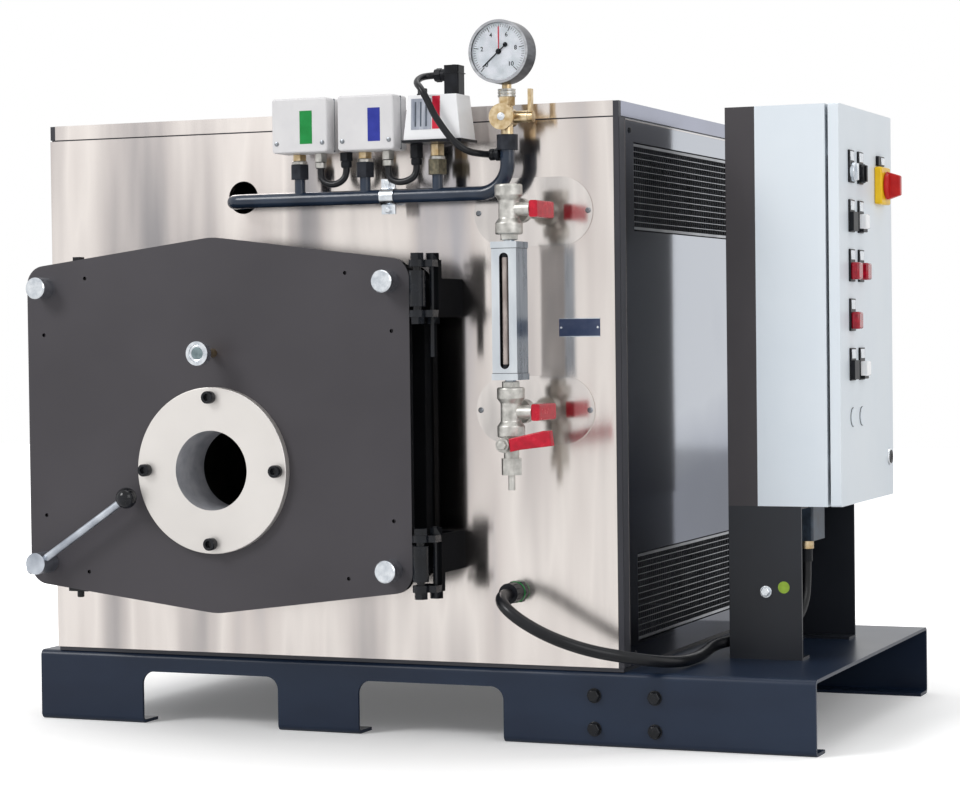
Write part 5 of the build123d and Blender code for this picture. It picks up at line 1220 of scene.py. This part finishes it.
@dataclass
class LevelGauge:
    """The two cocks, the glass in its frame, the drain and the cover plates."""

    x: float = 215.0
    y: float = -448.0
    front_y: float = -350.0
    heights: Pair = (783.0, 492.0)
    drain_y: float = -483.3
    drain_z: float = 446.0
    screw_half: float = 86.0
    tube_front: float = 16.2
    tube_z: Pair = (555.6, 719.4)
    tube: float = 4.6
    packing: Pair = (5.2, 5.6)
    neck_lows: Pair = (738.8, 524.4)
    groove_shadow_lows: Pair = (547.9, 726.6)
    groove_shadow_half: Pair = (19.2, 22.2)

    def build(self) -> None:
        """Dress the solids, put the tube in and screw the cover plates down."""
        # Painted highlight: the cover plates get the brighter copy of the polished steel.
        dress(HIGHLIGHT_STEEL, 0.3, "cover_plates")
        dress(NICKEL, 0.8, "gauge_cocks")
        dress(FRAME_ALLOY, 0.5, "glass_frame")
        face_finish("glass_frame", ALLOY_SIDE, lambda _middle, normal: normal.x > 0.7)
        face_finish("glass_frame", BLACK_ABS, self.in_shaded_slot)
        dress(RED_VINYL, 1.0, "upper_cock_lever", "lower_cock_lever", "drain_lever")
        face_finish("drain_lever", NICKEL, lambda middle, _normal: middle.x < self.x + 9)
        dress(NICKEL, 0.5, "drain_cock")
        self.sight_tube()
        self.nuts()
        screws = Maker("cover_screws", SCREW_STEEL)
        for z in self.heights:
            for x in (self.x - self.screw_half, self.x + self.screw_half):
                screws.turned((x, self.front_y - 2, z), Axis.FRONT,
                              ((4.2, -1), (4.2, 0.6), (2.6, 2.0), (1.4, 2.0), (1.4, 1.2)), 20)
        screws.done()

    def in_shaded_slot(self, middle: Vector, _normal: Vector) -> bool:
        """Tell the walls of the sight slot, coloured black as painted shade, from the frame's faces."""
        return abs(middle.x - self.x) < 7.6 and 553 < middle.z < 722 and -469.5 < middle.y < -458

    def sight_tube(self) -> None:
        """Put the clouded glass tube in the slot, in place of the flat pane, with a packing at each end."""
        y, (low, high), (outer, high_ring) = self.y - self.tube_front, self.tube_z, self.packing
        tube = Maker("sight_tube", CLOUDED_TUBE)
        tube.turned((self.x, y, low), Axis.Z, ((self.tube, 0), (self.tube, high - low)), 28)
        tube.done(replaces=("gauge_glass",))
        rings = Maker("sight_tube_packings", BLACK_ABS)
        for z in (low - 0.2, 714.0):
            rings.turned((self.x, y, z), Axis.Z, ((4.7, 0), (outer, 0), (outer, high_ring), (4.7, high_ring)), 28)
        rings.done()

    def nuts(self) -> None:
        """Put the neck nuts over and under the frame, thin black lines of painted shade in its caps' grooves, and the
        drain's nut and disc.
        """
        nuts = Maker("gauge_neck_nuts", NICKEL)
        for low in self.neck_lows:
            nuts.turned((self.x, self.y, low), Axis.Z,
                        ((8.2, 0), (12.6, 0), (13.6, 1), (13.6, 11), (12.6, 12), (8.2, 12)), 6)
        nuts.done(0.5)
        # Painted shade: thin black slabs stand for the shade inside the caps' grooves.
        grooves = Maker("frame_cap_groove_shadows", BLACK_ABS)
        wide, deep = self.groove_shadow_half
        for z in self.groove_shadow_lows:
            grooves.boxed((self.x - wide, self.y - deep, z), (self.x + wide, self.y + deep, z + 0.7))
        grooves.done()
        disc = Maker("drain_lever_nut", NICKEL, Body.DRAIN)
        seat = (self.x, self.drain_y, self.drain_z)
        disc.turned(seat, Axis.FRONT, ((7.2, -0.5), (7.2, 5.4), (6.2, 6.6)), 6)
        disc.turned(seat, Axis.FRONT, ((10, -0.4), (10, 1.5)), 32)
        disc.done(0.3)


# The control cabinet


class Unit(Enum):
    """The kinds of unit on the cabinet's door."""

    SILVER_SELECTOR = "silver selector"
    BLACK_SELECTOR = "black selector"
    BLACK_BUTTON = "black button"
    WHITE_BUTTON = "white button"
    RED_LAMP = "red lamp"


@dataclass
class Cabinet:
    """The cabinet, its stand, the buttons and lamps on its door, and its main switch."""

    front_x: float = 620.0
    near_y: float = -142.0
    columns: Pair = (-73.0, -18.0)
    row_top: float = 842.0
    row_pitch: float = 74.5
    half: float = 14.5
    blanks_y: Pair = (-69.3, -13.9)
    blanks_z: float = 472.5
    switch_y: float = 105.0
    switch_z: float = 829.0
    plate: float = 29.0
    lock_y: float = 161.0
    lock_z: float = 402.0
    plug_cable_z: Pair = (265.2, 278.9)
    bolt: Pair = (502.5, 212.1)
    mark: Pair = (530.2, 219.2)
    rows: tuple[tuple[Unit, ...], ...] = (
        (Unit.SILVER_SELECTOR, Unit.BLACK_SELECTOR), (Unit.BLACK_BUTTON, Unit.WHITE_BUTTON),
        (Unit.RED_LAMP, Unit.RED_LAMP), (Unit.RED_LAMP,), (Unit.BLACK_BUTTON, Unit.WHITE_BUTTON))

    def build(self) -> None:
        """Dress the solids and add the door's fittings."""
        dress(STAND_PAINT, 0.8, "cabinet_stand")
        dress(POST_PAINT, 0.8, "cabinet_post")
        dress(CABINET_PAINT, 0.8, "cabinet_body", "cabinet_door")
        dress(ZINC, 0, "mounting_plate")
        dress(HOOD_PAINT, 0.8, "cabinet_connector")
        low, high = self.plug_cable_z
        face_finish("cabinet_connector", BRASS, lambda middle, _normal: low < middle.z < high)
        face_finish("cabinet_connector", BLACK_ABS, lambda middle, _normal: middle.z < low)
        self.units()
        self.switch_plate()
        self.lock()
        self.stand_marks()

    def out(self, reach: float, y: float, z: float) -> Point:
        """A point a given reach in front of the door."""
        return self.front_x + reach, y, z

    def fitting(self, name: str, finish: AnyFinish) -> Maker:
        """Start a piece that rides on the cabinet's door."""
        return Maker(name, finish, Body.CABINET_LEAF)

    def units(self) -> None:
        """Build the door's units, each with its holder and blank legend, in place of the plain ones."""
        black = self.fitting("unit_bodies", BLACK_ABS)
        silver = self.fitting("unit_silver_parts", ZINC)
        white = self.fitting("unit_white_caps", WHITE_CAP)
        red = self.fitting("unit_red_lenses", LAMP_RED)
        blanks = self.fitting("blanking_discs", CABINET_PAINT)
        h = self.half
        for number, row in enumerate(self.rows):
            z = self.row_top - number * self.row_pitch
            for y, unit in zip(self.columns, row):
                black.boxed(self.out(0, y - 15, z - 16), self.out(3, y + 15, z + 33))
                silver.boxed(self.out(3, y - 11, z + 17), self.out(3.7, y + 11, z + 31))
                if unit in (Unit.SILVER_SELECTOR, Unit.BLACK_SELECTOR):
                    knob = silver if unit is Unit.SILVER_SELECTOR else black
                    knob.turned(self.out(3, y, z), Axis.X, ((h, 0), (h, 5.4), (13.2, 6.6)), 40)
                    knob.boxed(self.out(9, y - 4, z - 12.5), self.out(12.5, y + 4, z + 12.5))
                elif unit is Unit.RED_LAMP:
                    red.boxed(self.out(2.5, y - 13, z - 13), self.out(15.5, y + 13, z + 13))
                elif unit is Unit.WHITE_BUTTON:
                    white.boxed(self.out(1.5, y - 11.5, z - 10), self.out(13.5, y + 11.5, z + 12.5))
                    black.boxed(self.out(2.5, y - 11, z - h), self.out(9, y + h, z - 9))
                else:
                    black.boxed(self.out(2.5, y - h, z - h), self.out(8.5, y + h, z + h))
        # Painted shadow: a thin black ring round each blanking disc stands for the shadow that it casts on the door.
        shadow_rims = self.fitting("blanking_shadow_rims", BLACK_ABS)
        for y in self.blanks_y:
            spot = self.out(0, y, self.blanks_z)
            blanks.turned(spot, Axis.X, ((14, 0), (14, 1.8), (13.2, 2.6)), 36)
            shadow_rims.turned(spot, Axis.X, ((14.7, 0), (14.7, 0.7)), 36)
        black.done(1.2, replaces=("door_controls",))
        silver.done(0.3)
        white.done(1.6)
        red.done(3.0)
        blanks.done()
        shadow_rims.done()

    def switch_plate(self) -> None:
        """Build the main switch's yellow base and red handle, and the blank legend above them."""
        y, z, half = self.switch_y, self.switch_z, self.plate
        base = self.fitting("main_switch_base", YELLOW_PLATE)
        base.boxed(self.out(0, y - half, z - half), self.out(11.9, y + half, z + half))
        base.done(2.5, replaces=("door_controls",))
        knob = Maker("main_switch_knob", RED_KNOB, Body.MAIN_SWITCH)
        knob.turned(self.out(12.3, y, z), Axis.X, ((21, 0), (21, 5), (18.5, 7.5)), 44)
        knob.wedge(self.out(14, y, z), (16, 44), self.out(35.3, y, z), (13, 30))
        knob.done(1.6, replaces=("main_switch_handle",))
        top = z + half
        holder = self.fitting("main_switch_legend_holder", BLACK_ABS)
        holder.boxed(self.out(0, y - 19, top + 2), self.out(5, y + 19, top + 17)).done(0.8)
        legend = self.fitting("main_switch_blank_legend", ZINC)
        legend.boxed(self.out(5, y - 3, top + 4), self.out(5.6, y + 17, top + 15)).done(0.2)

    def lock(self) -> None:
        """Build the door's lock: a black insert with its slot in a zinc ring."""
        seat = self.out(0, self.lock_y, self.lock_z)
        ring = self.fitting("door_lock_ring", ZINC)
        ring.turned(seat, Axis.X, ((14, 0), (13.4, 2.4), (11.6, 3)), 36).done(0.3, replaces=("door_controls",))
        insert = self.fitting("door_lock_insert", BLACK_ABS)
        insert.turned(seat, Axis.X, ((10.4, 3), (10.4, 3.8), (4.5, 3.8), (4.5, 3.2)), 36)
        insert.done(replaces=("door_controls",))

    def stand_marks(self) -> None:
        """Put the zinc bolt and the plain lime earth mark on the stand's front."""
        x, z = self.bolt
        bolt = Maker("stand_bolt", ZINC)
        bolt.turned((x, self.near_y, z), Axis.FRONT, ((9, 0), (9, 1.5)), 28)
        bolt.hexed((x, self.near_y - 1.4, z), Axis.FRONT, 13, 6).done(0.4)
        x, z = self.mark
        mark = Maker("earth_mark", LIME_FILM)
        mark.turned((x, self.near_y, z), Axis.FRONT, ((9, 0), (9, 0.3)), 32).done()


# The vessel


@dataclass
class Vessel:
    """The pressure vessel inside the casing, seen only when the door is open."""

    solids: tuple[str, ...] = ("vessel_shell", "tube_plate", "tube_nest", "furnace_tube", "flue_collar")

    def build(self) -> None:
        """Dress the vessel."""
        dress(RAW_STEEL, 0, *self.solids)
        dress(FRAME_PAINT, 0, "vessel_saddles")


# The studio


@dataclass
class Studio:
    """A white floor and backdrop with large soft lamps, all in metres."""

    floor_half: float = 9.0
    floor_lift: Pair = (0.12, 0.8)
    lift_reach: Pair = (0.5, 1.5)
    world_light: float = 0.46
    target: Point = (0.0, 0.0, 0.5)
    lamps: tuple[tuple[str, Point, float, float], ...] = (
        ("key_lamp", (-3.2, -4.2, 4.2), 2.2, 175.0),
        ("fill_lamp", (4.4, -3.0, 2.6), 3.0, 60.0),
        ("top_lamp", (0.3, 0.6, 4.6), 3.4, 60.0))

    def build(self) -> None:
        """Make the world, the floor and the lamps."""
        self.world()
        self.floor()
        for name, spot, size, watts in self.lamps:
            self.lamp(name, spot, size, watts)

    def world(self) -> None:
        """Light the world evenly, and show it white to the camera, in gloss and through glass."""
        world = bpy.data.worlds.new("studio")
        bpy.context.scene.world = world
        world.use_nodes = True
        tree = world.node_tree
        tree.nodes.clear()
        path = add_node(tree, "LightPath")
        shown = path.outputs["Is Camera Ray"]
        for ray in ("Is Transmission Ray", "Is Glossy Ray"):
            shown = add_node(tree, "Math", {"operation": "MAXIMUM"}, {0: shown, 1: path.outputs[ray]}).outputs[0]
        soft = add_node(tree, "Background", {"Color": linear(WHITE), "Strength": self.world_light})
        full = add_node(tree, "Background", {"Color": linear(WHITE), "Strength": 1.0})
        mixed = add_node(tree, "MixShader", links={0: shown, 1: soft.outputs[0], 2: full.outputs[0]})
        add_node(tree, "OutputWorld", links={"Surface": mixed.outputs[0]})

    def floor(self) -> None:
        """Make the white floor that keeps the boiler's shadow."""
        mesh = bpy.data.meshes.new("floor")
        h = self.floor_half
        mesh.from_pydata([(-h, -h, 0), (h, -h, 0), (h, h, 0), (-h, h, 0)], [], [(0, 1, 2, 3)])
        floor = bpy.data.objects.new("floor", mesh)
        bpy.context.scene.collection.objects.link(floor)
        paint, tree, shader = blank("studio_floor_white_paint")
        path = add_node(tree, "LightPath")
        where = add_node(tree, "TexCoord").outputs["Object"]
        away = add_node(tree, "VectorMath", {"operation": "LENGTH"}, {0: where}).outputs["Value"]
        # The lift grows away from the boiler, so that the shadow stays and the horizon goes.
        lift = mapped(tree, away, self.floor_lift, self.lift_reach)
        shown = add_node(tree, "Math", {"operation": "MULTIPLY"}, {0: lift, 1: path.outputs["Is Camera Ray"]})
        fill(tree, shader, {"Base Color": linear("#f6f6f6"), "Roughness": 0.9, "Emission Color": linear(WHITE)},
             {"Emission Strength": shown.outputs[0]})
        mesh.materials.append(paint)

    def lamp(self, name: str, spot: Point, size: float, watts: float) -> None:
        """Hang one square soft lamp that points at the boiler.

        Args:
            name: The lamp's name.
            spot: Where it hangs.
            size: The side of the square.
            watts: How strong it is.
        """
        data = bpy.data.lights.new(name, "AREA")
        data.size = size
        data.energy = watts
        lamp = bpy.data.objects.new(name, data)
        bpy.context.scene.collection.objects.link(lamp)
        lamp.location = spot
        lamp.rotation_euler = (Vector(self.target) - Vector(spot)).to_track_quat("-Z", "Y").to_euler()


def main() -> None:
    """Make the camera and cords, then each sub-assembly in order."""
    logging.basicConfig(level=logging.INFO, format="%(name)s: %(message)s")
    bpy.context.scene.view_settings.view_transform = "Standard"
    Camera().make()
    Cords().build()
    for assembly in (Skid(), Casing(), Vessel(), BurnerDoor(), Instruments(), LevelGauge(), Cabinet(), Studio()):
        LOG.info("building %s", type(assembly).__name__)
        assembly.build()


if __name__ == "__main__":
    main()
